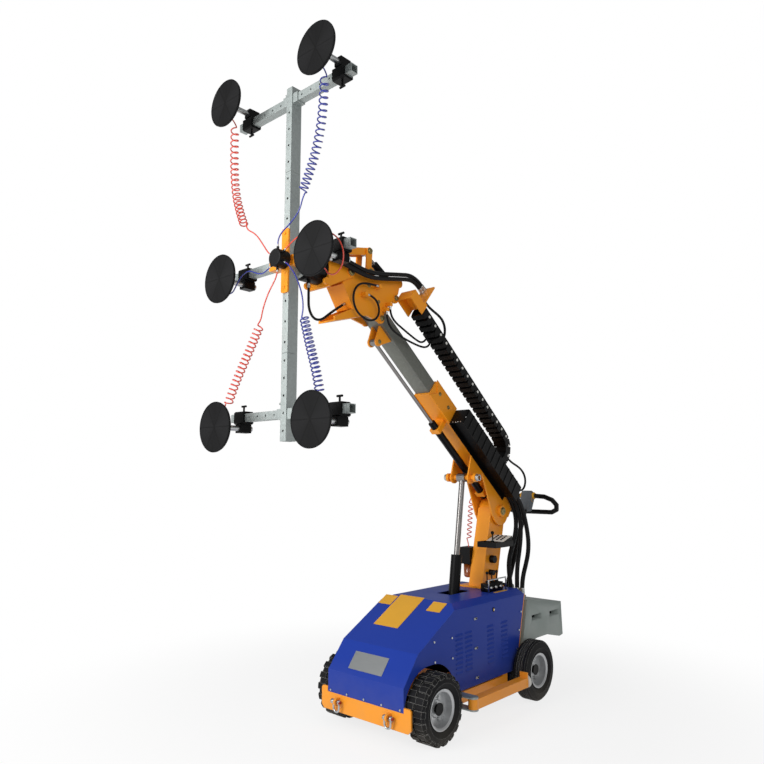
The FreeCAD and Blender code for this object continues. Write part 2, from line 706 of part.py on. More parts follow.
def chassis_frame():
    rail = square_tube(RAIL_X, RAIL_X + RAIL_W, RAIL_FRONT_Y, RAIL_REAR_Y, RAIL_Z, RAIL_Z + RAIL_H,
                       RAIL_WALL, "y").cut(rail_window())
    sill = square_tube(SILL_OUT_X - SILL_W, SILL_OUT_X, SILL_FRONT_Y, SILL_REAR_Y, SILL_Z, SILL_Z + SILL_H,
                       RAIL_WALL, "y")
    saddles = []
    for y in (0.0, WHEELBASE):
        seat = block(RAIL_X, RAIL_X + RAIL_W, y - AXLE_R, y + AXLE_R, TYRE_R, RAIL_Z)
        saddles.append(seat.cut(across(y, TYRE_R, 0, AXLE_HALF, AXLE_R)))
    lower, upper = lean_y(HOOD_REAR_Y, HOOD_EDGE_Z, BULKHEAD_BASE_Z), HOOD_REAR_Y
    bulkhead = prism([(lower, BULKHEAD_BASE_Z), (upper, HOOD_EDGE_Z), (upper + BULKHEAD_T, HOOD_EDGE_Z),
                      (lower + BULKHEAD_T, BULKHEAD_BASE_Z)], BULKHEAD_IN_X, HOOD_HALF)
    bulkhead = bulkhead.cut(block(RAIL_X - RUNNING_GAP, RAIL_X + RAIL_W + RUNNING_GAP, lower - RAIL_W,
                                  upper, BULKHEAD_BASE_Z - CUT_OVERRUN, RAIL_Z))
    seat = block(RAIL_X, RAIL_X + RAIL_W, WEIGHT_SEAT_Y, WEIGHT_SEAT_Y + WEIGHT_SEAT_LEN, RAIL_Z + RAIL_H,
                 WEIGHT_OUTLINE[4][1])
    sides = []
    for piece in [rail, sill, bulkhead, seat, trunnion_plate()] + saddles:
        sides += both(piece)
    crosses = [block(-SILL_OUT_X, SILL_OUT_X, y, y + CROSS_W, SILL_Z + SILL_H, RAIL_Z)
               for y in (SILL_FRONT_Y, SILL_REAR_Y - CROSS_W)]
    nose = block(-RAIL_X - RAIL_W, RAIL_X + RAIL_W, BUMPER_FRONT_Y + BUMPER_T, RAIL_FRONT_Y + RAIL_W / 2,
                 SILL_Z + RAIL_W / 2, RAIL_Z)
    return fuse(sides + crosses + [nose])


# Bumper and shackles
def front_bumper():
    top = [(BUMPER_HALF, BUMPER_EAR_Z), (HOOD_HALF + RUNNING_GAP, BUMPER_EAR_Z),
           (HOOD_HALF + RUNNING_GAP, HOOD_SILL_Z)]
    corner = BUMPER_CORNER_R
    right = [(BUMPER_HALF - corner, BUMPER_Z), (BUMPER_HALF, BUMPER_Z + corner)]
    right += [(BUMPER_HALF, BUMPER_EAR_Z - corner / 2), (BUMPER_HALF - corner / 2, BUMPER_EAR_Z)] + top[1:]
    outline = right + [(-x, z) for x, z in reversed(right)]
    points = [V(x, BUMPER_FRONT_Y, z) for x, z in outline]
    plate = Part.Face(Part.makePolygon(points + points[:1])).extrude(V(0, BUMPER_T, 0))
    lug = fuse([across(SHACKLE_PIN_Y, SHACKLE_PIN_Z, SHACKLE_X - SHACKLE_LUG_T / 2,
                       SHACKLE_X + SHACKLE_LUG_T / 2, SHACKLE_LUG_R),
                block(SHACKLE_X - SHACKLE_LUG_T / 2, SHACKLE_X + SHACKLE_LUG_T / 2, SHACKLE_PIN_Y,
                      BUMPER_FRONT_Y, SHACKLE_PIN_Z - SHACKLE_LUG_R, SHACKLE_PIN_Z + SHACKLE_LUG_R)])
    lug = lug.cut(across(SHACKLE_PIN_Y, SHACKLE_PIN_Z, 0, BUMPER_HALF, SHACKLE_PIN_R + PIN_FIT))
    return fuse([plate] + both(lug))


def shackle():
    low = SHACKLE_PIN_Z - SHACKLE_LEG
    bow = Part.Face(Part.Wire(Part.makeCircle(SHACKLE_WIRE_R, V(SHACKLE_BOW_R, 0, 0), UPWARD)))
    bow = moved(bow.revolve(ORIGIN, V(0, 1, 0), 180.0), SHACKLE_X, SHACKLE_PIN_Y, low)
    parts = [bow]
    for side in (-1, 1):
        x = SHACKLE_X + side * SHACKLE_BOW_R
        parts.append(rod(V(x, SHACKLE_PIN_Y, low), V(x, SHACKLE_PIN_Y, SHACKLE_PIN_Z), SHACKLE_WIRE_R))
        parts.append(across(SHACKLE_PIN_Y, SHACKLE_PIN_Z, x - SHACKLE_WIRE_R, x + SHACKLE_WIRE_R,
                            SHACKLE_PIN_R + SHACKLE_WIRE_R))
    reach = SHACKLE_BOW_R + SHACKLE_WIRE_R
    pin = fuse([across(SHACKLE_PIN_Y, SHACKLE_PIN_Z, SHACKLE_X - reach, SHACKLE_X + reach + SHACKLE_PIN_R,
                       SHACKLE_PIN_R),
                across(SHACKLE_PIN_Y, SHACKLE_PIN_Z, SHACKLE_X + reach,
                       SHACKLE_X + reach + SHACKLE_PIN_R, SHACKLE_PIN_R + SHACKLE_WIRE_R)])
    return fuse(parts + [pin])


# Hood
def hood_outline(inset):
    crest_y, crest_z = HOOD_CREST
    break_y, break_z = HOOD_BREAK
    rear = lean_y(HOOD_REAR_Y, HOOD_EDGE_Z, HOOD_SILL_Z)
    top_rear = HOOD_REAR_Y + (crest_z - HOOD_EDGE_Z) * math.tan(math.radians(LEAN))
    low = CUT_OVERRUN if inset else 0
    return [(HOOD_FRONT_Y + inset, HOOD_SILL_Z - low), (HOOD_FRONT_Y + inset, HOOD_NOSE_Z - inset / 2),
            (break_y + inset, break_z - inset / 2), (crest_y + inset / 2, crest_z - inset),
            (top_rear + low, crest_z - inset), (rear + low, HOOD_SILL_Z - low)]


def hood_body(inset):
    half, flat = HOOD_HALF - inset, HOOD_FLAT_HALF - inset / 2
    body = prism(hood_outline(inset), -half, half)
    roof = [(half, 0), (half, HOOD_EDGE_Z - inset), (flat, HOOD_CREST[1] - inset)]
    points = [V(x, HOOD_FRONT_Y - HOOD_HALF, z) for x, z in roof + [(-x, z) for x, z in reversed(roof)]]
    section = Part.Face(Part.makePolygon(points + points[:1]))
    return body.common(section.extrude(V(0, HOOD_REAR_Y * 2, 0)))


def louvre(y, z):
    corners = [ORIGIN, V(0, 0, LOUVRE_RISE), V(LOUVRE_DEPTH, 0, 0), ORIGIN]
    wedge = Part.Face(Part.makePolygon(corners))
    return moved(wedge.extrude(V(0, LOUVRE_LEN, 0)), HOOD_HALF, y, z)


def hood():
    shell = hood_body(0).cut(hood_body(HOOD_SHEET))
    x0, x1 = HOOD_HALF - RAIL_W, HOOD_HALF + CUT_OVERRUN
    arch = fuse([across(y, ARCH_Z, x0, x1, ARCH_R) for y in ARCH_Y]
                + [block(x0, x1, *ARCH_Y, ARCH_Z - ARCH_R, ARCH_Z + ARCH_R)])
    slot = block(-CYLINDER_SLOT_HALF, CYLINDER_SLOT_HALF,
                 CYLINDER_SLOT_Y, CYLINDER_SLOT_Y + CYLINDER_SLOT_LEN,
                 HOOD_EDGE_Z - RAIL_W, HOOD_CREST[1] + CUT_OVERRUN)
    notch = block(-MAST_HALF - RUNNING_GAP, MAST_HALF + RUNNING_GAP, MAST_NOTCH_Y, HOOD_REAR_Y * 2,
                  HOOD_EDGE_Z - RAIL_W, HOOD_CREST[1] + CUT_OVERRUN)
    shell = cut(shell, both(arch) + [slot, notch])
    rows = [LOUVRE_Z + i * LOUVRE_PITCH for i in range(LOUVRE_ROWS)]
    vents = [louvre(y, z) for y in LOUVRE_COLUMN_Y for z in rows]
    sides = Part.makeCompound(vents)
    return shell.multiFuse(sides.Solids + mirrored(sides).Solids)


def laid_plate(x_range, up_range, start, run):
    length = math.hypot(*run)
    along = V(0, run[0] / length, run[1] / length)
    outward = V(0, -run[1] / length, run[0] / length)
    foot = V(0, start[0], start[1])
    corners = [foot + ACROSS * x + along * up for x, up in
               ((x_range[0], up_range[0]), (x_range[1], up_range[0]),
                (x_range[1], up_range[1]), (x_range[0], up_range[1]))]
    return Part.Face(Part.makePolygon(corners + corners[:1])).extrude(outward * PLATE_T)


def blank_plates():
    run = (HOOD_CREST[0] - HOOD_BREAK[0], HOOD_CREST[1] - HOOD_BREAK[1])
    nose_run = (HOOD_BREAK[0] - HOOD_FRONT_Y, HOOD_BREAK[1] - HOOD_NOSE_Z)
    plates = [laid_plate(MAIN_PLATE_X, MAIN_PLATE_UP, HOOD_BREAK, run)]
    for x in SIDE_PLATE_X:
        plates.append(laid_plate((x - SIDE_PLATE_HALF, x + SIDE_PLATE_HALF), SIDE_PLATE_UP, HOOD_BREAK, run))
    plates.append(laid_plate(NOSE_PLATE_X, NOSE_PLATE_UP, (HOOD_FRONT_Y, HOOD_NOSE_Z), nose_run))
    x0, y0, x1, y1 = DECK_PLATE
    plates.append(block(x0, x1, y0, y1, HOOD_CREST[1], HOOD_CREST[1] + PLATE_T))
    return Part.makeCompound(plates)


def hood_bolts():
    head = hexagon_head(BOLT_R, BOLT_H)
    rear = []
    for i in range(REAR_BOLT_COUNT):
        z = REAR_BOLT_Z + i * REAR_BOLT_PITCH
        rear.append((lean_y(HOOD_REAR_Y, HOOD_EDGE_Z, z) - REAR_BOLT_INSET, z))
    bolts = []
    for y, z in list(SIDE_BOLTS) + rear:
        bolts += both(moved(head, HOOD_HALF, y, z))
    front = turned_to(head, V(0, -1, 0))
    for i in range(NOSE_BOLT_COUNT):
        x = -NOSE_BOLT_HALF + 2 * NOSE_BOLT_HALF * i / (NOSE_BOLT_COUNT - 1)
        bolts.append(moved(front, x, HOOD_FRONT_Y, NOSE_BOLT_Z))
    return Part.makeCompound(bolts)


# Internals
def battery_pack():
    half, y0, y1, height = BATTERY
    floor = RAIL_Z + RAIL_H
    length = (y1 - y0 - RUNNING_GAP) / BATTERY_COUNT
    cells = []
    for i in range(BATTERY_COUNT):
        start = y0 + i * (length + WEAR_FIT)
        cells.append(block(-half, half, start, start + length, floor, floor + height))
    return Part.makeCompound(cells)


def hydraulic_unit():
    x0, x1, y0, y1, height = TANK
    floor = RAIL_Z + RAIL_H
    tank = block(-x1, -x0, y0, y1, floor, floor + height)
    pump = rod(V((x0 + x1) / 2, y0, floor + PUMP_R), V((x0 + x1) / 2, y1, floor + PUMP_R), PUMP_R)
    return Part.makeCompound([tank, pump])


# Counterweight and tiller
def counterweight():
    slab = prism(WEIGHT_OUTLINE, -WEIGHT_HALF, WEIGHT_HALF)
    length, height, depth = WEIGHT_SLOT
    slots = []
    for y, z in WEIGHT_SLOT_AT:
        slots += both(block(WEIGHT_HALF - depth, WEIGHT_HALF + CUT_OVERRUN, y - length / 2, y + length / 2,
                            z - height / 2, z + height / 2))
    y, z = TILLER_PIVOT
    lug = fuse([across(y, z, TILLER_LUG_X, TILLER_LUG_X + TILLER_LUG_T, TILLER_LUG_R),
                block(TILLER_LUG_X, TILLER_LUG_X + TILLER_LUG_T, y - TILLER_LUG_R, y + TILLER_LUG_R,
                      WEIGHT_OUTLINE[1][1], z)])
    pin = across(y, z, -TILLER_LUG_X - TILLER_LUG_T, TILLER_LUG_X + TILLER_LUG_T, TILLER_PIN_R)
    margin = HOSE_R + TAIL_GLAND_RIM
    feet = [path[0] for path in TAIL_ROUTES]
    gland = block(TAIL_X[0] - margin, TAIL_X[-1] + margin, feet[0][0] - margin, feet[-1][0] + margin,
                  WEIGHT_OUTLINE[1][1], feet[0][1])
    return fuse([cut(slab, slots)] + both(lug) + [pin, gland])


def tiller_arm():
    foot, head = V(0, *TILLER_PIVOT), V(0, *TILLER_HEAD)
    along = (head - foot).normalize()
    square = V(0, along.z, -along.y)
    eye = ring(V(-TILLER_LUG_X + RUNNING_GAP, *TILLER_PIVOT), V(TILLER_LUG_X - RUNNING_GAP, *TILLER_PIVOT),
               TILLER_LUG_R, TILLER_PIN_R + PIN_FIT)
    tube = rod(foot + along * TILLER_TUBE_R, head, TILLER_TUBE_R)
    half = TILLER_HEAD_T / 2
    corners = [head - square * half, head + square * half, head + square * half + along * TILLER_HEAD_LEN,
               head - square * half + along * TILLER_HEAD_LEN]
    body = Part.Face(Part.makePolygon([c - ACROSS * TILLER_HEAD_HALF for c in corners + corners[:1]]))
    body = body.extrude(ACROSS * TILLER_HEAD_HALF * 2)
    right = bent_rod([head + ACROSS * x + along * up + square * out for x, up, out in TILLER_LOOP],
                     TILLER_GRIP_R)
    x, up, out = TILLER_LOOP[-1]
    middle = head + along * up + square * out
    grips = both(right) + [rod(middle - ACROSS * x, middle + ACROSS * x, TILLER_GRIP_R)]
    return fuse([cut(tube, [rod(foot - ACROSS * TILLER_LUG_R, foot + ACROSS * TILLER_LUG_R,
                                TILLER_LUG_R - RUNNING_GAP)]), eye, body] + grips)


def bent_rod(points, radius):
    parts = []
    for start, end in zip(points[:-1], points[1:]):
        parts.append(rod(start, end, radius))
    parts += [Part.makeSphere(radius, p) for p in points[1:]]
    return fuse(parts)


# Mast
def mast():
    half = MAST_DEPTH / 2
    reach = (PIVOT_Z - RAIL_Z) / math.cos(math.radians(LEAN)) + MAST_DEPTH
    column = square_tube(-MAST_HALF, MAST_HALF, -half, half, -reach, 0, MAST_WALL, "z")
    head = across(0, 0, -MAST_HALF, MAST_HALF, MAST_HEAD_R)
    column = leaned(column.fuse(head), LEAN, PIVOT_Y, PIVOT_Z)
    floor = RAIL_Z + RAIL_H
    below = block(-MAST_DEPTH, MAST_DEPTH, 0, PIVOT_Y, floor - reach, floor)
    x, y0, y1, t = MAST_FOOT
    foot = block(-x, x, y0, y1, HOOD_CREST[1], HOOD_CREST[1] + t)
    foot = foot.cut(leaned(block(-MAST_HALF + MAST_WALL, MAST_HALF - MAST_WALL, -half + MAST_WALL,
                                 half - MAST_WALL, -reach, 0), LEAN, PIVOT_Y, PIVOT_Z))
    middle = lean_y(PIVOT_Y, PIVOT_Z, floor)
    base = block(-RAIL_X, RAIL_X, middle - half, middle + half - MAST_WALL * 3, floor - MAST_WALL, floor)
    column = fuse([column.cut(below), foot, base])
    return column.cut(across(PIVOT_Y, PIVOT_Z, -MAST_DEPTH, MAST_DEPTH, PIVOT_PIN_R + PIN_FIT))


# Controls
def control_tray():
    x0, x1, y0, y1, z0, height = TRAY
    pan = block(x0, x1, y0, y1, z0, z0 + height)
    pan = pan.cut(block(x0 + TRAY_WALL, x1 - TRAY_WALL, y0 + TRAY_WALL, y1 - TRAY_WALL, z0 + height / 2,
                        z0 + height + CUT_OVERRUN))
    x, y = STICK_AT
    pan = fuse([pan, rod(V(x, y, z0), V(x, y, z0 + height - STICK_R), STICK_BALL_R * 2)])
    socket = across(*SOCKET_AT, MAST_HALF, MAST_HALF + CONTROL_REACH, SOCKET_R)
    knob = across(*KNOB_AT, MAST_HALF, MAST_HALF + CONTROL_REACH, KNOB_R)
    return Part.makeCompound([pan, socket, knob])


def joystick():
    x, y = STICK_AT
    z = TRAY[4] + TRAY[5] - STICK_R + WEAR_FIT
    base = across(y, z + STICK_R, x - STICK_BALL_R, x + STICK_BALL_R, STICK_R)
    top = V(x, y, z + STICK_LEN)
    stem = rod(V(x, y, z + STICK_R), top, STICK_R * STICK_STEM_SHARE)
    return fuse([base, stem, Part.makeSphere(STICK_BALL_R, top)])


def vacuum_filter():
    width, y0, y1, z0, z1 = FILTER_BOX
    box = block(-MAST_HALF - width, -MAST_HALF, y0, y1, z0, z1)
    x, y = -MAST_HALF - width / 2, (y0 + y1) / 2
    bowl = rod(V(x, y, z0 - BOWL_H), V(x, y, z0), BOWL_R)
    lowest = min(bowl.Edges, key=lambda e: e.BoundBox.ZMax)
    return Part.makeCompound([box, bowl.makeFillet(BOWL_R / 2, [lowest])])


def valve_bank():
    x0, x1, y0, y1, height = VALVE
    deck = HOOD_CREST[1]
    body = block(x0, x1, y0, y1, deck, deck + height)
    spools = []
    for i in range(LEVER_COUNT):
        y = lever_y(i)
        middle = deck + height / 2
        spools.append(rod(V(x0 - LEVER_HUB_R, y, middle), V(x1 + LEVER_HUB_R, y, middle), LEVER_HUB_R))
    top = deck + GUARD_RISE
    path = [V(GUARD_X, y, z) for y, z in ((y0 - GUARD_OVER, deck), (y0 - GUARD_OVER, top),
                                          (y1 + GUARD_OVER, top), (y1 + GUARD_OVER, deck))]
    guard = fuse([bent_rod(path[:-1], GUARD_R), rod(path[2], path[3], GUARD_R)])
    tie = rod(V((x0 + x1) / 2, y0, deck + height / 2), V(GUARD_X, y0 - GUARD_OVER, deck + height / 2),
              GUARD_R)
    return fuse([body] + spools + [guard, tie])


def lever_y(index):
    return (VALVE[2] + VALVE[3]) / 2 + (index - (LEVER_COUNT - 1) / 2) * LEVER_PITCH


def lever_z():
    return HOOD_CREST[1] + VALVE[4] + LEVER_HUB_R + WEAR_FIT


def valve_lever(index):
    x, y, z = (VALVE[0] + VALVE[1]) / 2, lever_y(index), lever_z()
    hub = rod(V(x, y - LEVER_HUB_W / 2, z), V(x, y + LEVER_HUB_W / 2, z), LEVER_HUB_R)
    top = V(x, y, z + LEVER_LEN)
    return fuse([hub, rod(V(x, y, z), top, LEVER_R), Part.makeSphere(LEVER_KNOB_R, top)])


# Stabilisers
def stabiliser_mount():
    x, y = STAB_PIVOT
    low, high = STAB_Z - WEAR_FIT, STAB_Z + STAB_ARM + WEAR_FIT
    inner = HOOD_HALF + RUNNING_GAP
    plates = []
    for z in (low - STAB_LUG_T, high):
        plate = fuse([block(inner, x, y - STAB_EYE_R, y + STAB_EYE_R, z, z + STAB_LUG_T),
                      rod(V(x, y, z), V(x, y, z + STAB_LUG_T), STAB_EYE_R)])
        plates.append(plate)
    web = fuse([block(inner, inner + STAB_LUG_T, y - STAB_EYE_R, y + STAB_EYE_R, low - STAB_LUG_T,
                      high + STAB_LUG_T),
                block(SILL_OUT_X, inner + STAB_LUG_T, y - STAB_EYE_R, y + STAB_EYE_R, low - STAB_LUG_T,
                      SILL_Z + SILL_H)])
    pin = rod(V(x, y, low - STAB_LUG_T), V(x, y, high + STAB_LUG_T), STAB_PIN_R)
    post_x, post_y = LATCH_AT
    post = fuse([rod(V(post_x, post_y, SILL_Z + LATCH_R), V(post_x, post_y, SILL_Z + LATCH_H), LATCH_R),
                 block(SILL_OUT_X, post_x, post_y - LATCH_R, post_y + LATCH_R, SILL_Z + LATCH_R,
                       SILL_Z + LATCH_R * 2)])
    return [fuse(plates + [web, pin]), post]


def stabiliser_mounts():
    right = stabiliser_mount()
    return Part.makeCompound(right + [mirrored(s) for s in right])


def stabiliser_arm():
    x, y = STAB_PIVOT
    half, top = STAB_ARM / 2, STAB_Z + STAB_ARM
    eye = rod(V(x, y, STAB_Z), V(x, y, top), STAB_EYE_R)
    arm = square_tube(x - half, x + half, y, STAB_END_Y, STAB_Z, top, STAB_WALL, "y")
    cap = block(x - half, x + half, STAB_END_Y, STAB_END_Y + STAB_CAP_T, STAB_Z, top + STAB_CAP_RISE)
    rear = STAB_END_Y + STAB_CAP_T
    spindle_end = V(x, rear + ROLLER_W + RUNNING_GAP, STAB_Z + half)
    spindle = rod(V(x, rear, STAB_Z + half), spindle_end, ROLLER_PIN_R)
    body = fuse([arm, eye, cap, spindle])
    return body.cut(rod(V(x, y, STAB_Z - CUT_OVERRUN), V(x, y, top + CUT_OVERRUN), STAB_PIN_R + PIN_FIT))


def roller():
    x, z = STAB_PIVOT[0], STAB_Z + STAB_ARM / 2
    start = STAB_END_Y + STAB_CAP_T + WEAR_FIT
    return ring(V(x, start, z), V(x, start + ROLLER_W, z), ROLLER_R, ROLLER_PIN_R + PIN_FIT)


# Boom
def outer_boom():
    tube = boom_block(-OUTER_HALF, OUTER_HALF, OUTER_U, OUTER_N)
    tube = tube.cut(boom_block(-OUTER_HALF + OUTER_WALL, OUTER_HALF - OUTER_WALL,
                               (OUTER_U[0] - CUT_OVERRUN, OUTER_U[1] + CUT_OVERRUN),
                               (OUTER_N[0] + OUTER_WALL, OUTER_N[1] - OUTER_WALL)))
    wear_u = (OUTER_U[1] - WEAR_LEN, OUTER_U[1])
    wear = boom_block(-OUTER_HALF, OUTER_HALF, wear_u, OUTER_N)
    wear = wear.cut(boom_block(-INNER_HALF - WEAR_FIT, INNER_HALF + WEAR_FIT,
                               (wear_u[0] - CUT_OVERRUN, wear_u[1] + CUT_OVERRUN),
                               (INNER_N[0] - WEAR_FIT, INNER_N[1] + WEAR_FIT)))
    low, high = OUTER_N[0] - COLLAR_LIP, OUTER_N[1] + COLLAR_LIP
    middle, end = (low + high) / 2, OUTER_U[1]
    collar_outline = [(COLLAR_U, low), (COLLAR_U, high), (end, high), (end - COLLAR_NOTCH, middle), (end, low)]
    collar = boom_prism(collar_outline, OUTER_HALF, OUTER_HALF + COLLAR_T)
    cheek = fuse([boom_prism(CHEEK_OUTLINE, OUTER_HALF, OUTER_HALF + CHEEK_T),
                  across(0, 0, OUTER_HALF, OUTER_HALF + CHEEK_T, CHEEK_R)])
    u, n = LIFT_PIN
    lug = fuse([across(-u, n, OUTER_HALF, OUTER_HALF + CHEEK_T, LIFT_LUG_R),
                boom_prism([(u - LIFT_LUG_HALF, OUTER_N[0]), (u - LIFT_LUG_HALF, OUTER_N[1]),
                            (u + LIFT_LUG_HALF, OUTER_N[1]), (u + LIFT_LUG_HALF, OUTER_N[0]),
                            (u + LIFT_LUG_R, n), (u - LIFT_LUG_R, n)], OUTER_HALF, OUTER_HALF + CHEEK_T)])
    ring_x = LIFT_PIN_HALF - LIFT_RING_W
    collars = across(-u, n, ring_x, LIFT_PIN_HALF, LIFT_RING_R)
    cap = across(0, 0, OUTER_HALF + CHEEK_T, PIVOT_PIN_HALF, PIVOT_CAP_R)
    pins = [across(-u, n, -LIFT_PIN_HALF, LIFT_PIN_HALF, LIFT_PIN_R),
            across(0, 0, -PIVOT_PIN_HALF, PIVOT_PIN_HALF, PIVOT_PIN_R)]
    saddles = []
    for at in TELE_SADDLE_U:
        saddle = boom_block(-TELE_SADDLE_HALF, TELE_SADDLE_HALF, (at, at + TELE_SADDLE_LEN),
                            (TELE_N - TELE_BARREL_R - RUNNING_GAP, OUTER_N[0]))
        saddles.append(saddle.cut(rod(V(0, -at + CUT_OVERRUN, TELE_N),
                                      V(0, -at - TELE_SADDLE_LEN - CUT_OVERRUN, TELE_N), TELE_BARREL_R)))
    sides = []
    for piece in (collar, cheek, lug, collars, cap):
        sides += both(piece)
    return on_boom(fuse([tube, wear] + sides + pins + saddles))


def cable_duct():
    x0, x1 = DUCT_X
    walls = [boom_block(x0, x0 + DUCT_WALL, DUCT_U, DUCT_N), boom_block(x1 - DUCT_WALL, x1, DUCT_U, DUCT_N),
             boom_block(x0, x1, DUCT_U, (DUCT_FLOOR_N, DUCT_FLOOR_N + DUCT_WALL))]
    spacing = (DUCT_U[1] - DUCT_U[0]) / (DUCT_RIB_COUNT + 1)
    for i in range(DUCT_RIB_COUNT):
        u = DUCT_U[0] + (i + 1) * spacing
        walls.append(boom_block(x1, x1 + DUCT_RIB[1], (u, u + DUCT_RIB[0]), DUCT_N))
    feet = [boom_block(OUTER_HALF, x0, (u, u + TELE_SADDLE_LEN), (OUTER_N[0], OUTER_N[1] - COLLAR_LIP * 2))
            for u in DUCT_FEET_U]
    clamp = boom_block(x0, x1, (TAIL_CLAMP_U, TAIL_CLAMP_U + DUCT_WALL),
                       (DUCT_FLOOR_N, DUCT_FLOOR_N + TAIL_CLAMP_H))
    cover = boom_block(x0, x1, (DUCT_U[1] - DUCT_COVER, DUCT_U[1]), (DUCT_N[1] - DUCT_WALL, DUCT_N[1]))
    return on_boom(fuse(walls + feet + [clamp, cover]))


def tele_barrel():
    u0, u1 = TELE_BARREL_U
    start, end = V(0, -u0, TELE_N), V(0, -u1, TELE_N)
    along = (end - start).normalize()
    body = rod(start, end, TELE_BARREL_R)
    bore = rod(start + along * TELE_GLAND, end - along * TELE_GLAND, TELE_BORE_R)
    gland = rod(end - along * (TELE_GLAND + CUT_OVERRUN), end + along * CUT_OVERRUN, TELE_ROD_R + PIN_FIT)
    return on_boom(cut(body, [bore, gland]))


def tele_rod():
    end = V(0, -TELE_PIN_U, TELE_N)
    start = V(0, -TELE_ROD_U, TELE_N)
    piston = rod(start, start - V(0, TELE_GLAND, 0), TELE_BORE_R - PIN_FIT)
    eye_half = ACROSS * TELE_EYE_HALF
    eye = ring(end - eye_half, end + eye_half, TELE_EYE_R, TELE_PIN_R + PIN_FIT)
    stem = rod(start, end, TELE_ROD_R).cut(across(end.y, end.z, -TELE_EYE_HALF, TELE_EYE_HALF, TELE_EYE_R))
    return on_boom(fuse([stem, piston, eye]))


def inner_boom():
    tube = boom_block(-INNER_HALF, INNER_HALF, INNER_U, INNER_N)
    return on_boom(tube.cut(boom_block(-INNER_HALF + INNER_WALL, INNER_HALF - INNER_WALL,
                                       (INNER_U[0] - CUT_OVERRUN, INNER_U[1] + CUT_OVERRUN),
                                       (INNER_N[0] + INNER_WALL, INNER_N[1] - INNER_WALL))))


# Energy chain: pivots stand on a run, a half turn and a run back, with one link between each two
def chain_link(length):
    half, low, tip = (length - CHAIN_JOINT_GAP) / 2, CHAIN_H / 2, CHAIN_EAR
    x0, x1 = CHAIN_X
    outline = [(-half, 0), (-half + tip, low), (half - tip, low), (half, 0), (half, -low), (-half, -low)]
    core = block(x0 + CHAIN_WALL, x1 - CHAIN_WALL, -length, length, -low + CHAIN_WALL, low - CHAIN_WALL)
    return prism(outline, x0, x1).cut(core)


def chain_pivots():
    arc_length = math.pi * CHAIN_BEND_R
    lower, upper = CHAIN_FIXED_U - CHAIN_BEND_U, CHAIN_END_U - CHAIN_BEND_U
    low_n = DUCT_FLOOR_N + DUCT_WALL + CHAIN_SEAT + CHAIN_H / 2
    total = lower + arc_length + upper
    count = round(total / CHAIN_PITCH)
    for i in range(count + 1):
        s = i * total / count
        turn = min(max(s - lower, 0) / CHAIN_BEND_R, math.pi)
        run = s - lower if s < lower else max(s - lower - arc_length, 0)
        yield (CHAIN_BEND_U + (-run if s < lower else run) - CHAIN_BEND_R * math.sin(turn),
               low_n + CHAIN_BEND_R * (1 - math.cos(turn)))


def energy_chain():
    pivots = list(chain_pivots())
    link = chain_link(math.dist(pivots[0], pivots[1]))
    links = []
    for (u0, n0), (u1, n1) in zip(pivots[:-1], pivots[1:]):
        copy = link.copy()
        copy.rotate(ORIGIN, ACROSS, math.degrees(math.atan2(n1 - n0, u0 - u1)))
        links.append(moved(copy, 0, -(u0 + u1) / 2, (n0 + n1) / 2))
    return on_boom(Part.makeCompound(links))


# Boom head
def head_plate():
    plate = prism(HEAD_OUTLINE, INNER_HALF, INNER_HALF + HEAD_T)
    outside = INNER_HALF + HEAD_T
    bosses = [across(y, z, INNER_HALF, outside, HEAD_PIN_BOSS_R) for y, z in HEAD_PINS + (TILT_BASE,)]
    foot = (ROCKER_FOOT[0], ROCKER_FOOT[1] - HEAD_PIN_BOSS_R * 2)
    bosses.append(strap(ROCKER_FOOT, foot, INNER_HALF, INNER_HALF + HEAD_T, HEAD_PIN_BOSS_R))
    heads = [across(y, z, outside, outside + HEAD_PIN_HEAD, HEAD_PIN_R) for y, z in HEAD_PINS]
    plate = fuse([plate] + bosses + heads)
    holes = [across(*TILT_PIVOT, 0, BRACKET_HALF, TILT_PIN_R + PIN_FIT),
             across(*ROCKER_FOOT, 0, BRACKET_HALF, TILT_PIN_R)]
    return cut(plate, holes)


def web(start, end, half):
    run = V(0, end[0] - start[0], end[1] - start[1])
    inward = V(0, -run.z, run.y).normalize() * HEAD_WEB_T
    foot = V(-half, start[0], start[1])
    face = Part.Face(Part.makePolygon([foot, foot + run, foot + run + inward, foot + inward, foot]))
    return face.extrude(V(2 * half, 0, 0))


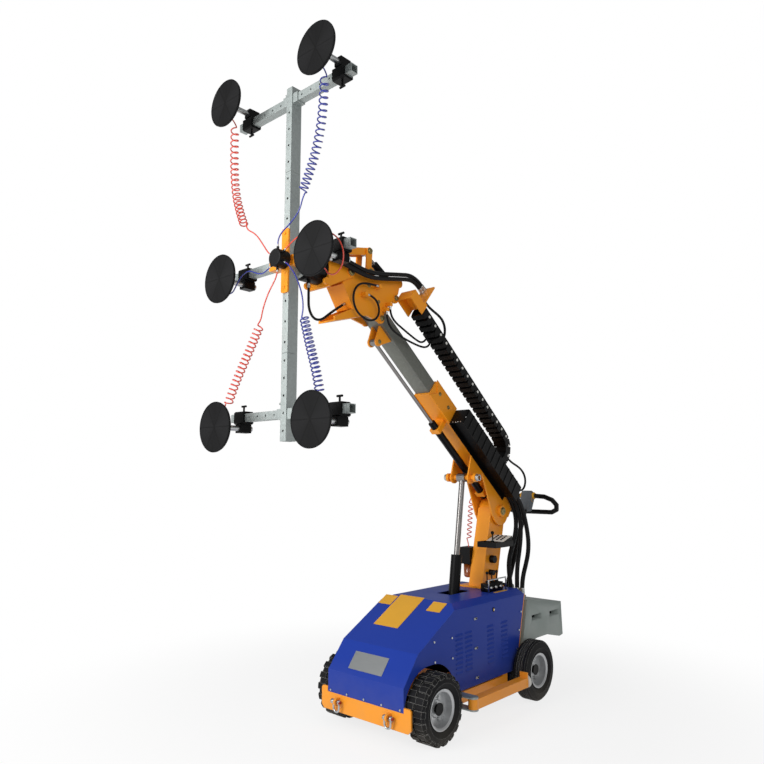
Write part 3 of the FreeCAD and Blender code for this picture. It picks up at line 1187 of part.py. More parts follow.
def boom_head():
    webs = [web(HEAD_OUTLINE[9], HEAD_OUTLINE[8], INNER_HALF),
            web(HEAD_OUTLINE[6], HEAD_OUTLINE[5], INNER_HALF)]
    lug_u0, lug_u1 = TELE_LUG_U
    lug = fuse([across(-TELE_PIN_U, TELE_N, TELE_LUG_X, TELE_LUG_X + TELE_LUG_T, TELE_LUG_R),
                boom_prism([(lug_u0, INNER_N[0]), (lug_u1, INNER_N[0]), (TELE_PIN_U + TELE_LUG_R, TELE_N),
                            (TELE_PIN_U - TELE_LUG_R, TELE_N)], TELE_LUG_X, TELE_LUG_X + TELE_LUG_T)])
    tele_pin = across(-TELE_PIN_U, TELE_N, -TELE_LUG_X - TELE_LUG_T, TELE_LUG_X + TELE_LUG_T, TELE_PIN_R)
    carrier = boom_block(INNER_HALF + HEAD_T, CHAIN_X[1], CHAIN_BOX_U, CHAIN_BOX_N)
    carrier = carrier.cut(boom_block(INNER_HALF + HEAD_T + CHAIN_BOX_T, CHAIN_X[1] - CHAIN_BOX_T,
                                     (CHAIN_BOX_U[0] - CUT_OVERRUN, CHAIN_BOX_U[1] - CHAIN_BOX_T),
                                     (CHAIN_BOX_N[0] - CUT_OVERRUN, CHAIN_BOX_N[1] - CHAIN_BOX_T)))
    x0, x1, u1, t, rise = UNION_PLATE
    union = fuse([boom_block(x0, x1, (CHAIN_BOX_U[0], u1), (CHAIN_BOX_N[1], CHAIN_BOX_N[1] + t)),
                  boom_block(x0, x1, (u1 - t, u1), (CHAIN_BOX_N[1], CHAIN_BOX_N[1] + rise))])
    on_inner = [on_boom(s) for s in both(lug) + [tele_pin, carrier, union]]
    ports = [block(INNER_HALF + HEAD_T, PLATE_LOOP_X + PLATE_PORT, y - PLATE_PORT, y + PLATE_PORT,
                   z - PLATE_PORT, z + PLATE_PORT) for y, z in PLATE_PORTS + HANGING_PORTS]
    foot = across(*ROCKER_FOOT, -INNER_HALF - HEAD_T, INNER_HALF + HEAD_T, TILT_PIN_R)
    base = across(*TILT_BASE, TILT_BARREL_R + RUNNING_GAP * 2, INNER_HALF, TILT_PIN_R)
    return fuse(both(head_plate()) + webs + on_inner + [foot] + ports + both(base))


# Tilt linkage
def rocker_top():
    return (ROCKER_FOOT[0] + ROCKER_RUN[0], ROCKER_FOOT[1] + ROCKER_RUN[1])


def link_end():
    return (TILT_PIVOT[0] + ROCKER_RUN[0], TILT_PIVOT[1] + ROCKER_RUN[1])


def strap(a, b, x0, x1, radius):
    run = V(0, b[0] - a[0], b[1] - a[1])
    side = V(0, -run.z, run.y).normalize() * radius
    start = V(x0, *a)
    corners = [start + side, start - side, start - side + run, start + side + run]
    bar = Part.Face(Part.makePolygon(corners + corners[:1])).extrude(V(x1 - x0, 0, 0))
    return fuse([bar, across(*a, x0, x1, radius), across(*b, x0, x1, radius)])


def rocker_links():
    top = rocker_top()
    side = strap(ROCKER_FOOT, top, *ROCKER_X, LINK_EYE_R).cut(
        across(*ROCKER_FOOT, 0, BRACKET_HALF, TILT_PIN_R + PIN_FIT))
    pin = across(*top, -ROCKER_X[1], ROCKER_X[1], TILT_PIN_R)
    return fuse(both(side) + [pin])


def tilt_link():
    top, end = rocker_top(), link_end()
    side = strap(end, top, *LINK_X, LINK_EYE_R)
    bridge_a = [end[i] + (top[i] - end[i]) * LINK_BRIDGE_SHARES[0] for i in (0, 1)]
    bridge_b = [end[i] + (top[i] - end[i]) * LINK_BRIDGE_SHARES[1] for i in (0, 1)]
    bridge = strap(bridge_a, bridge_b, -LINK_X[1], LINK_X[1], LINK_EYE_R / 2)
    body = fuse(both(side) + [bridge])
    return cut(body, [across(*top, -BRACKET_HALF, BRACKET_HALF, TILT_PIN_R + PIN_FIT),
                      across(*end, -BRACKET_HALF, BRACKET_HALF, TILT_PIN_R + PIN_FIT)])


def tilt_axis():
    top = V(0, *rocker_top())
    along = V(0, *TILT_BASE) - top
    return top, along.normalize(), (V(0, *TILT_BASE) - top).Length


def tilt_rod():
    top, along, length = tilt_axis()
    eye = ring(top - ACROSS * TILT_EYE_HALF, top + ACROSS * TILT_EYE_HALF, LINK_EYE_R, TILT_PIN_R + PIN_FIT)
    tail = top + along * (length - TILT_PISTON_BACK)
    stem = rod(top, tail, TILT_ROD_R).cut(rod(top - ACROSS * LINK_EYE_R, top + ACROSS * LINK_EYE_R,
                                              LINK_EYE_R - RUNNING_GAP))
    piston = rod(tail - along * TILT_GLAND, tail, TILT_BORE_R - PIN_FIT)
    return fuse([eye, stem, piston])


def tilt_barrel():
    top, along, length = tilt_axis()
    start, end = top + along * TILT_EXPOSED, top + along * (length + TILT_BASE_END)
    body = rod(start, end, TILT_BARREL_R)
    bore = rod(start + along * TILT_GLAND, end - along * TILT_CAP, TILT_BORE_R)
    mouth = start - along * CUT_OVERRUN
    gland = rod(mouth, start + along * (TILT_GLAND + CUT_OVERRUN), TILT_ROD_R + PIN_FIT)
    return cut(body, [bore, gland])


def tilt_bracket():
    z0, z1 = BRACKET_Z
    plate = block(-BRACKET_HALF, BRACKET_HALF, BRACKET_FACE_Y, BRACKET_FACE_Y + BRACKET_PLATE_T, z0, z1)
    front = BRACKET_FACE_Y + BRACKET_PLATE_T / 2
    y, z = TILT_PIVOT
    ear_outline = [(front, z0), (front, z1), (y, z + TILT_WASHER_R), (y, z - TILT_WASHER_R)]
    ear = fuse([prism(ear_outline, *BRACKET_X), across(y, z, *BRACKET_X, TILT_WASHER_R)])
    washer = across(y, z, BRACKET_X[1], BRACKET_X[1] + TILT_WASHER_T, TILT_WASHER_R - LINK_EYE_R / 2)
    pin = across(y, z, -BRACKET_X[1], BRACKET_X[1], TILT_PIN_R)
    link_y, link_z = link_end()
    horn_outline = [(front, z1 - LINK_EYE_R * 4), (front, z1), (link_y, link_z + LINK_EYE_R),
                    (link_y, link_z - LINK_EYE_R)]
    horn = fuse([prism(horn_outline, *ROCKER_X), across(link_y, link_z, *ROCKER_X, LINK_EYE_R)])
    link_pin = across(link_y, link_z, -ROCKER_X[1], ROCKER_X[1], TILT_PIN_R - WEAR_FIT)
    hook = across(*BRACKET_HOOK, BRACKET_X[0], BRACKET_HALF, BRACKET_HOOK_R)
    return fuse([plate] + both(ear) + both(washer) + both(horn) + [pin, link_pin] + both(hook))


def rotator():
    start, end = V(0, ROTATOR_FRONT_Y, TURN_Z), V(0, BRACKET_FACE_Y, TURN_Z)
    body = rod(start, end, ROTATOR_R)
    front = min((e for e in body.Edges if isinstance(e.Curve, Part.Circle)), key=lambda e: e.BoundBox.YMax)
    body = body.makeChamfer(TURN_FLANGE_T / 2, [front])
    y0, y1, z0, z1 = PORT_BLOCK
    ports = block(0, BUNDLE_END_X + BUNDLE_R + RUNNING_GAP, y0, y1, z0, z1)
    riser_end = V(RISER_X, RISER_Y, TURN_Z - ROTATOR_R - PORT_LEN)
    riser = rod(V(RISER_X, RISER_Y, TURN_Z - ROTATOR_R / 2), riser_end, SMALL_HOSE_R + RUNNING_GAP)
    return fuse([body, ports, riser]).cut(
        rod(start - V(0, CUT_OVERRUN, 0), end - V(0, TURN_FLANGE_T, 0), TURN_SHAFT_R + PIN_FIT))


# Vacuum frame
def tube_z(row):
    return PAD_Z[row] + (STEM_DROP if row else -STEM_DROP)


def beam_axis_y():
    return (BEAM_Y[0] + BEAM_Y[1]) / 2


def front_holes(first, pitch, count):
    outside, inside = BEAM_Y[0] - CUT_OVERRUN, BEAM_Y[0] + BEAM_WALL * 2
    levels = [first + i * pitch for i in range(count)]
    return [rod(V(0, outside, z), V(0, inside, z), BEAM_HOLE_R) for z in levels]


def cross_sleeve(z, half):
    y, outer = beam_axis_y(), CROSS_SIZE / 2 + SLEEVE_WALL
    return square_tube(-half, half, y - outer, y + outer, z - outer, z + outer, SLEEVE_WALL - CROSS_FIT, "x")


def cross_passage(z):
    y, half = beam_axis_y(), CROSS_SIZE / 2 + CROSS_FIT
    return block(-SLEEVE_OUT - CUT_OVERRUN, SLEEVE_OUT + CUT_OVERRUN, y - half, y + half, z - half, z + half)


def frame_beam():
    low, high = BEAM_Z
    beam = square_tube(-BEAM_HALF, BEAM_HALF, *BEAM_Y, low, high, BEAM_WALL, "z")
    holes = front_holes(*UPPER_HOLES, UPPER_HOLE_COUNT) + front_holes(*LOWER_HOLES, LOWER_HOLE_COUNT)
    for row in MIDDLE_HOLES:
        holes += front_holes(*row, MIDDLE_HOLE_COUNT)
    sleeves = [cross_sleeve(tube_z(row), SLEEVE_OUT) for row in (0, 2)]
    flange_y = BEAM_Y[1] + TURN_FLANGE_T
    flange = rod(V(0, BEAM_Y[1], TURN_Z), V(0, flange_y, TURN_Z), TURN_FLANGE_R)
    shaft_end = V(0, BRACKET_FACE_Y - TURN_FLANGE_T * TURN_SHAFT_STOP_SHARE, TURN_Z)
    shaft = rod(V(0, flange_y, TURN_Z), shaft_end, TURN_SHAFT_R)
    body = fuse([cut(beam, holes)] + sleeves + [flange, shaft])
    joints = [ring_cut(z) for z in BEAM_JOINT_Z]
    knob_x, reach = -SLEEVE_OUT + T_HANDLE_HALF / 2, CROSS_SIZE / 2 + SLEEVE_WALL
    knobs = [t_bolt(knob_x, beam_axis_y(), tube_z(row), reach, 1) for row in (0, 2)]
    return fuse([cut(body, [cross_passage(tube_z(row)) for row in (0, 2)] + joints)] + knobs)


def ring_cut(z):
    wide = BEAM_HALF + CUT_OVERRUN
    outer = block(-wide, wide, BEAM_Y[0] - CUT_OVERRUN, BEAM_Y[1] + CUT_OVERRUN, z, z + RUNNING_GAP)
    inset = BEAM_WALL / 2
    return outer.cut(block(-BEAM_HALF + inset, BEAM_HALF - inset, BEAM_Y[0] + inset, BEAM_Y[1] - inset,
                           z - CUT_OVERRUN, z + CUT_OVERRUN))


def centre_bracket():
    strap_plate = block(-STRAP_HALF, STRAP_HALF, BEAM_Y[0] - STRAP_T, BEAM_Y[0], TURN_Z - STRAP_HALF_H,
                        TURN_Z + STRAP_HALF_H)
    edges = [e for e in strap_plate.Edges if abs(abs(e.tangentAt(e.FirstParameter).y) - 1) < 1e-6]
    strap_plate = strap_plate.makeFillet(STRAP_CORNER_R, edges)
    y, outer = beam_axis_y(), CROSS_SIZE / 2 + SLEEVE_WALL
    sleeve = square_tube(BEAM_HALF, MID_SLEEVE_OUT, y - outer, y + outer, TURN_Z - outer, TURN_Z + outer,
                         SLEEVE_WALL - CROSS_FIT, "x")
    link = block(BEAM_HALF, STRAP_HALF, BEAM_Y[0] - STRAP_T, y, TURN_Z - outer, TURN_Z + outer)
    inside = outer - SLEEVE_WALL + CROSS_FIT
    link = link.cut(block(0, MID_SLEEVE_OUT, y - inside, y + outer, TURN_Z - inside, TURN_Z + inside))
    head = turned_to(hexagon_head(BOLT_R + RUNNING_GAP, BOLT_H), V(0, -1, 0))
    bolt_rise = STRAP_HALF_H - STRAP_HALF
    bolts = [moved(head, 0, BEAM_Y[0] - STRAP_T, TURN_Z + side * bolt_rise) for side in (-1, 1)]
    return fuse([strap_plate] + both(sleeve) + both(link) + bolts)


def port_at(index):
    angle = math.radians(90.0 + index * 360.0 / PORT_COUNT)
    y = BEAM_Y[0] - STRAP_T - MANIFOLD_LEN + PORT_INSET
    outward = V(math.cos(angle), 0, math.sin(angle))
    return V(0, y, TURN_Z) + outward * MANIFOLD_R, outward


def manifold():
    rear = BEAM_Y[0] - STRAP_T
    body = rod(V(0, rear, TURN_Z), V(0, rear - MANIFOLD_LEN, TURN_Z), MANIFOLD_R)
    front = min((e for e in body.Edges if isinstance(e.Curve, Part.Circle)), key=lambda e: e.BoundBox.YMax)
    body = body.makeFillet(PORT_R, [front])
    ports = []
    for i in range(PORT_COUNT):
        foot, outward = port_at(i)
        ports.append(rod(foot - outward * PORT_LEN, foot + outward * PORT_LEN, PORT_R))
    return fuse([body] + ports)


def cross_tube(x0, x1, z, hole_sides):
    y, half = beam_axis_y(), CROSS_SIZE / 2
    tube = square_tube(x0, x1, y - half, y + half, z - half, z + half, CROSS_WALL, "x")
    holes = []
    for side in hole_sides:
        for i in range(CROSS_HOLE_COUNT):
            x = side * (CROSS_HOLE_FIRST + i * CROSS_HOLE_PITCH)
            outside, inside = y - half - CUT_OVERRUN, y - half + CROSS_WALL * 2
            holes.append(rod(V(x, outside, z), V(x, inside, z), CROSS_HOLE_R))
    return cut(tube, holes)


def cross_tubes():
    middle = cross_tube(BEAM_HALF, CROSS_HALF, tube_z(1), ())
    top = cross_tube(-CROSS_HALF, CROSS_HALF, tube_z(0), (-1, 1))
    bottom = cross_tube(-CROSS_HALF, CROSS_HALF, tube_z(2), (-1, 1))
    return Part.makeCompound([top, middle, mirrored(middle), bottom])


def t_bolt(x, y, z, from_axis, up):
    foot = V(x, y, z + up * from_axis)
    top = foot + V(0, 0, up * T_BOLT_LEN)
    return fuse([rod(foot - V(0, 0, up * RUNNING_GAP), top, T_BOLT_R),
                 rod(top - ACROSS * T_HANDLE_HALF, top + ACROSS * T_HANDLE_HALF, T_HANDLE_R)])


def clamp_block(side, row):
    z, y, up = tube_z(row), beam_axis_y(), (1 if row else -1)
    half, hole = CLAMP_SIZE / 2, CROSS_SIZE / 2 + CROSS_FIT
    x0, x1 = PAD_X - CLAMP_HALF, PAD_X + CLAMP_HALF
    shell = block(x0, x1, y - half, y + half, z - half, z + half)
    long_edges = [e for e in shell.Edges if abs(abs(e.tangentAt(e.FirstParameter).x) - 1) < 1e-6]
    shell = shell.makeChamfer(CLAMP_CHAMFER, long_edges)
    ends = sorted((z - up * half, z - up * (STEM_DROP + CLAMP_BOSS_HALF)))
    boss = block(PAD_X - CLAMP_BOSS_HALF, PAD_X + CLAMP_BOSS_HALF, y - half, y + half, ends[0], ends[1])
    body = fuse([shell, boss, t_bolt(PAD_X, y, z, half, up)])
    stem_z = PAD_Z[row]
    stem_bore = rod(V(PAD_X, y - CLAMP_SIZE, stem_z), V(PAD_X, y + CLAMP_SIZE, stem_z), STEM_R + PIN_FIT)
    tube_bore = block(x0 - CUT_OVERRUN, x1 + CUT_OVERRUN, y - hole, y + hole, z - hole, z + hole)
    body = cut(body, [tube_bore, stem_bore])
    return body if side > 0 else mirrored(body)


def pad():
    face, back = PAD_FACE_Y, PAD_FACE_Y + PAD_BACK
    profile = [(face + PAD_LIP, 0), (face + PAD_LIP, PAD_R - PAD_LIP * 3), (face, PAD_R - PAD_LIP),
               (face, PAD_R), (face + PAD_LIP * 2, PAD_R - PAD_LIP / 2), (back - PAD_LIP, PAD_R / 2),
               (back, PAD_HUB_R), (back + PAD_HUB_LEN, PAD_HUB_R), (back + PAD_HUB_LEN, 0)]
    return turned_to(lathe(profile), V(0, 1, 0))


def frame_sets():
    disc = pad()
    pads, stems, clamps = [], [], []
    start = PAD_FACE_Y + PAD_BACK + PAD_HUB_LEN
    for row, z in enumerate(PAD_Z):
        for side in (-1, 1):
            x = side * PAD_X
            pads.append(fuse([moved(disc, x, 0, z), pad_port(x, row)]))
            stems.append(rod(V(x, start, z), V(x, STEM_REAR_Y, z), STEM_R))
            clamps.append(clamp_block(side, row))
    return {"vacuum_pads": Part.makeCompound(pads), "pad_stems": Part.makeCompound(stems),
            "clamp_blocks": Part.makeCompound(clamps)}


def pad_port_point(x, row):
    return V(x, PAD_FACE_Y + PAD_BACK - PAD_LIP / 2, PAD_Z[row] + PAD_PORT_SIDES[row] * PAD_PORT_DROP)


def pad_port(x, row):
    foot = pad_port_point(x, row)
    return rod(foot - V(0, PORT_R * 2, 0), foot + V(0, PORT_LEN, 0), PORT_R)


# Lift cylinder
def lift_point(distance):
    a = math.radians(LIFT_LEAN)
    top = boom_point(0, *LIFT_PIN)
    return top - V(0, math.sin(a), math.cos(a)) * distance


def lift_base_yz():
    base = lift_point(LIFT_BASE)
    return base.y, base.z


def lift_rod():
    top = lift_point(0)
    eye = ring(top - ACROSS * LIFT_EYE_HALF, top + ACROSS * LIFT_EYE_HALF, LIFT_EYE_R, LIFT_PIN_R + PIN_FIT)
    stem = rod(top, lift_point(LIFT_ROD_LEN), LIFT_ROD_R)
    stem = stem.cut(rod(top - ACROSS * LIFT_EYE_R, top + ACROSS * LIFT_EYE_R, LIFT_EYE_R - RUNNING_GAP))
    piston = rod(lift_point(LIFT_ROD_LEN - LIFT_PISTON), lift_point(LIFT_ROD_LEN), LIFT_BORE_R - PIN_FIT)
    return fuse([eye, stem, piston])


def lift_barrel():
    body = rod(lift_point(LIFT_BARREL_TOP), lift_point(LIFT_BASE + LIFT_CAP / 2), LIFT_BARREL_R)
    bore = rod(lift_point(LIFT_BARREL_TOP + LIFT_GLAND), lift_point(LIFT_BASE - LIFT_CAP), LIFT_BORE_R)
    mouth, throat = LIFT_BARREL_TOP - CUT_OVERRUN, LIFT_BARREL_TOP + LIFT_GLAND + CUT_OVERRUN
    gland = rod(lift_point(mouth), lift_point(throat), LIFT_ROD_R + PIN_FIT)
    y, z = lift_base_yz()
    return fuse([cut(body, [bore, gland]), across(y, z, -TRUNNION_HALF, TRUNNION_HALF, TRUNNION_R)])


# Hose paths: arcs joined tangent to tangent
def arc(start, end, corner):
    middle = (start + end) / 2
    toward = corner - middle
    if toward.Length < STRAIGHT_ENOUGH:
        return Part.LineSegment(start, end).toShape()
    half = (end - start).Length / 2
    bend = math.atan2(toward.Length, half)
    top = middle + toward.normalize() * half * math.tan(bend / 2)
    return Part.Arc(start, top, end).toShape()


def biarc(p0, t0, p1, t1):
    chord, spread = p1 - p0, t0 + t1
    product, scale = chord.dot(spread), 2 * (1 - t0.dot(t1))
    if scale < STRAIGHT_SHARE:
        reach = chord.dot(chord) / (4 * chord.dot(t1))
    else:
        reach = (math.sqrt(product * product + scale * chord.dot(chord)) - product) / scale
    first, last = p0 + t0 * reach, p1 - t1 * reach
    joint = (first + last) / 2
    return [arc(p0, joint, first), arc(joint, p1, last)]


def helix_stations(start, end, radius, turns):
    axis = (end - start).normalize()
    side = V(0, 1, 0)
    side = (side - axis * side.dot(axis)).normalize()
    other = axis.cross(side)
    rise = (end - start).Length / (2 * math.pi * turns)
    for i in range(2 * turns + 1):
        a = math.pi * i
        out = side * math.cos(a) + other * math.sin(a)
        around = other * math.cos(a) - side * math.sin(a)
        yield start + axis * (rise * a) + out * radius, (around * radius + axis * rise).normalize()


def swept(stations, sides, radius):
    edges = []
    for (p0, t0), (p1, t1) in zip(stations[:-1], stations[1:]):
        edges += biarc(p0, t0, p1, t1)
    path = Part.Wire(edges)
    start, along = stations[0]
    turn = FreeCAD.Rotation(UPWARD, along)
    step = 2 * math.pi / sides
    corners = [start + turn.multVec(V(radius * math.cos(i * step), radius * math.sin(i * step), 0))
               for i in range(sides)]
    section = Part.makePolygon(corners + corners[:1])
    return path.makePipeShell([section], True, False), path


def least_gap(path, radius):
    points = path.discretize(Distance=radius * 2)
    skip = math.ceil(COIL_R * math.pi / radius / 2)
    least = None
    for i, a in enumerate(points):
        for b in points[i + skip:]:
            away = (a - b).Length - 2 * radius
            least = away if least is None or away < least else least
    return least


def coiled(name, ends, coil, radius, turns):
    (p0, t0), (p1, t1) = ends
    start, end = V(*coil[0]), V(*coil[1])
    axis = (end - start).normalize()
    stations = [(p0, t0), (p0 + t0 * LEAD, t0), (start - axis * COIL_TAIL, axis)]
    stations += list(helix_stations(start, end, radius, turns))
    stations += [(end + axis * COIL_TAIL, axis), (p1 + t1 * LEAD, t1 * -1), (p1, t1 * -1)]
    tube, path = swept(stations, COIL_SIDES, TUBE_R)
    tightest = min(e.Curve.Radius for e in path.Edges if isinstance(e.Curve, Part.Circle))
    area = COIL_SIDES / 2 * TUBE_R ** 2 * math.sin(2 * math.pi / COIL_SIDES)
    print("%s: %d curls, %.0f mm long, least gap to itself %.2f mm" %
          (name, turns, path.Length, least_gap(path, TUBE_R)))
    print("%s: tightest turn %.1f mm, volume %.0f for %.0f" %
          (name, tightest, tube.Volume, path.Length * area))
    return tube


def route(points):
    edges, radii = [], []
    here = points[0]
    for before, corner, after in zip(points[:-2], points[1:-1], points[2:]):
        a, b = before - corner, after - corner
        reach = CORD_TURN_SHARE * min(a.Length, b.Length)
        radii.append(reach / math.tan((math.pi - a.getAngle(b)) / 2))
        start, end = corner + a.normalize() * reach, corner + b.normalize() * reach
        edges += [Part.LineSegment(here, start).toShape(), arc(start, end, corner)]
        here = end
    edges.append(Part.LineSegment(here, points[-1]).toShape())
    return Part.Wire(edges), radii


def hose(name, points, radius):
    points = [V(*p) for p in points]
    path, radii = route(points)
    section = Part.Wire(Part.makeCircle(radius, points[0], points[1] - points[0]))
    tube = path.makePipeShell([section], True, False)
    print("%s: %.0f mm long, turn radii %s mm, volume %.0f for %.0f"
          % (name, path.Length, " ".join("%.0f" % r for r in radii), tube.Volume,
             path.Length * math.pi * radius ** 2))
    return tube


def port_end(index):
    foot, outward = port_at(index)
    return foot + outward * PORT_LEN, outward


def pad_end(x, row):
    return pad_port_point(x, row) + V(0, PORT_LEN, 0), V(0, 1, 0)


def vacuum_hoses(colour):
    tubes = []
    for row, side, port, coil in COILS[colour]:
        ends = (pad_end(side * PAD_X, row), port_end(port))
        tubes.append(coiled("%s coil, row %d" % (colour, row), ends, coil, COIL_R, COIL_TURNS))
    port, side, points = LINKS[colour]
    start, end = port_end(port)[0], pad_end(side * PAD_X, 1)[0]
    tubes.append(hose(colour + " link", [start] + list(points) + [end], TUBE_R))
    return Part.makeCompound(tubes)


def mast_coil():
    width, y0, y1, _, top = FILTER_BOX
    low = (V(-MAST_HALF - width / 2, (y0 + y1) / 2, top), UPWARD)
    high = (boom_point(-OUTER_HALF - CHEEK_T, *MAST_COIL_END), ACROSS * -1)
    return coiled("mast coil", (low, high), MAST_COIL, MAST_COIL_R, MAST_COIL_TURNS)


def tail_hoses():
    tubes = []
    for x, path in zip(TAIL_X, TAIL_ROUTES):
        points = [V(x, y, z) for y, z in path]
        points += [boom_point(x, -u, TAIL_N) for u in (TAIL_RUN_IN, -TAIL_CLAMP_U)]
        tubes.append(hose("tail hose at x %.0f" % x, points, HOSE_R))
    tubes.append(hose("bend hose", [boom_point(BEND_HOSE_X, u, n) for u, n in BEND_HOSE], BEND_HOSE_R))
    return Part.makeCompound(tubes)


def bundle_hoses():
    tubes = []
    for name, n, path in BUNDLE:
        points = [boom_point(BUNDLE_END_X, UNION_PLATE[2] + run, n) for run in (0, BUNDLE_RUN)]
        points += [V(BUNDLE_END_X, y, z) for y, z in path]
        tubes.append(hose(name, points, BUNDLE_R))
    return tubes


def chain_hose():
    _, _, u1, t, _ = UNION_PLATE
    points = [boom_point(CHAIN_HOSE_X, u1 - t, CHAIN_HOSE[0][0])]
    points += [boom_point(CHAIN_HOSE_X, u, n) for n, u in CHAIN_HOSE]
    top = max(n for _, n in chain_pivots()) + CHAIN_H / 2 + CHAIN_SEAT
    points.append(boom_point(CHAIN_HOSE_X, CHAIN_HOSE[-1][1], top))
    return hose("chain hose", points, CHAIN_HOSE_R)


def plate_loop():
    (y0, z0), (y1, z1) = PLATE_PORTS
    points = [V(PLATE_LOOP_X, y0 - PLATE_PORT, z0)] + [V(PLATE_LOOP_X, y, z) for y, z in PLATE_LOOP]
    return hose("plate loop", points + [V(PLATE_LOOP_X, y1 + PLATE_PORT, z1)], PLATE_LOOP_R)


def hanging_hoses():
    tubes = []
    under = max(n for _, n in chain_pivots()) - CHAIN_H / 2 - CHAIN_SEAT
    for (y, z), (name, u, path) in zip(HANGING_PORTS, HANGING_HOSES):
        points = [V(PLATE_LOOP_X, y, z - PLATE_PORT)] + [V(PLATE_LOOP_X, *p) for p in path]
        points += [boom_point(PLATE_LOOP_X, u, under - run) for run in (HANGING_RUN, 0)]
        tubes.append(hose(name, points, PLATE_LOOP_R))
    return tubes


def head_hoses():
    tubes = bundle_hoses() + [chain_hose(), plate_loop()] + hanging_hoses()
    start = V(RISER_X, RISER_Y, TURN_Z - ROTATOR_R - PORT_LEN)
    share = RISER_END_SHARE
    low, high = HEAD_OUTLINE[8], HEAD_OUTLINE[9]
    end = V(RISER_X, low[0] + (high[0] - low[0]) * share, low[1] + (high[1] - low[1]) * share)
    outward = V(0, low[1] - high[1], high[0] - low[0]).normalize()
    points = [start] + [V(RISER_X, y, z) for y, z in RISER_ROUTE] + [end + outward * RISER_RUN_IN, end]
    tubes.append(hose("riser", points, SMALL_HOSE_R))
    return Part.makeCompound(tubes)


# Assembly
def build():
    right_shackle, right_arm, right_roller = shackle(), stabiliser_arm(), roller()
    nodes = {
        "chassis_frame": chassis_frame(), "front_bumper": front_bumper(), "hood": hood(),
        "blank_plates": blank_plates(), "hood_bolts": hood_bolts(), "battery_pack": battery_pack(),
        "hydraulic_unit": hydraulic_unit(), "counterweight": counterweight(), "mast": mast(),
        "axles": Part.makeCompound([drive_axle(), rear_axle()]), "valve_bank": valve_bank(),
        "mast_controls": control_tray(), "vacuum_filter": vacuum_filter(),
        "stabiliser_mounts": stabiliser_mounts(), "joystick": joystick(), "tiller_arm": tiller_arm(),
        "shackle_right": right_shackle, "shackle_left": mirrored(right_shackle),
        "stabiliser_right": right_arm, "stabiliser_left": mirrored(right_arm),
        "roller_right": right_roller, "roller_left": mirrored(right_roller),
        "outer_boom": outer_boom(), "cable_duct": cable_duct(), "tele_barrel": tele_barrel(),
        "inner_boom": inner_boom(), "tele_rod": tele_rod(), "boom_head": boom_head(),
        "energy_chain": energy_chain(), "lift_rod": lift_rod(), "lift_barrel": lift_barrel(),
        "rocker_links": rocker_links(), "tilt_link": tilt_link(), "tilt_rod": tilt_rod(),
        "tilt_barrel": tilt_barrel(), "tilt_bracket": tilt_bracket(), "rotator": rotator(),
        "frame_beam": frame_beam(), "centre_bracket": centre_bracket(), "manifold": manifold(),
        "cross_tubes": cross_tubes(),
    }
    for i in range(LEVER_COUNT):
        nodes["valve_lever_%d" % (i + 1)] = valve_lever(i)
    nodes.update(wheels())
    nodes.update(frame_sets())
    return nodes


def hoses():
    return {"red_hoses": vacuum_hoses("red"), "blue_hoses": vacuum_hoses("blue"), "mast_coil": mast_coil(),
            "tail_hoses": tail_hoses(), "head_hoses": head_hoses()}


def main():
    nodes = build()
    box = Part.makeCompound(list(nodes.values())).BoundBox
    shift = -(box.YMin + box.YMax) / 2
    print("front axle at y = %.3f, lowest point at z = %.3f" % (shift, box.ZMin))
    nodes.update(hoses())
    for name, shape in nodes.items():
        if not shape.isValid():
            print("not valid:", name)
        moved(shape, 0, shift, 0).exportStep("parts/%s.step" % name)
    print(len(nodes), "nodes")


if __name__ == "__main__":
    main()
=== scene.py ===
"""Looks of a battery glass panel lifter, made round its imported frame."""

import json
import math
from collections import defaultdict

import bmesh
import bpy
from bpy.props import FloatProperty, FloatVectorProperty, IntProperty, PointerProperty
from mathutils import Matrix, Vector
from mathutils.bvhtree import BVHTree


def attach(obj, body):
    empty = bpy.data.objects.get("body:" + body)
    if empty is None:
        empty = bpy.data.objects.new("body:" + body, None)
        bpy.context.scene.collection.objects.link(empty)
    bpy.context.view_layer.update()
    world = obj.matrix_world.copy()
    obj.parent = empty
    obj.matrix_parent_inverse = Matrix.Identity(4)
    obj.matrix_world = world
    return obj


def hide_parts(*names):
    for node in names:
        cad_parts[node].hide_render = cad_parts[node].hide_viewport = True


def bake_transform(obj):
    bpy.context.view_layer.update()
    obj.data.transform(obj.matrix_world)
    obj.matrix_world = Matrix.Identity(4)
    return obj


bl_info = {
    "name": "Glass Panel Lifter",
    "version": (1, 0, 0),
    "blender": (4, 5, 0),
    "location": "3D View > Sidebar > Lifter",
    "description": "Finishes, hoses, suction pads and small fittings of a glass panel lifter",
    "category": "Object",
}

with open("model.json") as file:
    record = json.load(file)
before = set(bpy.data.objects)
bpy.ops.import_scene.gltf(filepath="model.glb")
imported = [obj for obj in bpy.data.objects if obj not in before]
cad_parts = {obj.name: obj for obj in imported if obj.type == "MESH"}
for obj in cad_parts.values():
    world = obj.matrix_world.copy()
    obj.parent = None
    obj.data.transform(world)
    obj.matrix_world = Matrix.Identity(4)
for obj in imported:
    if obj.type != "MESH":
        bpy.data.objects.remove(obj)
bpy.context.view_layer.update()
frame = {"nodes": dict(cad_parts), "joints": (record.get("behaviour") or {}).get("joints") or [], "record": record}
NODES = frame["nodes"]
JOINTS = {joint["name"]: joint for joint in frame["joints"]}
MM = 0.001
AXLE_Y = JOINTS["front_wheel_right_spin"]["pos_m"][1]
BOOM_PIVOT = Vector(JOINTS["boom_lift"]["pos_m"])
BOOM_ALONG = Vector(JOINTS["boom_telescope"]["axis"])
BOOM_UP = Vector((0, BOOM_ALONG.z, -BOOM_ALONG.y))

# How far to the side a ray starts that looks for a surface, in millimetres
CLEAR_X = 700

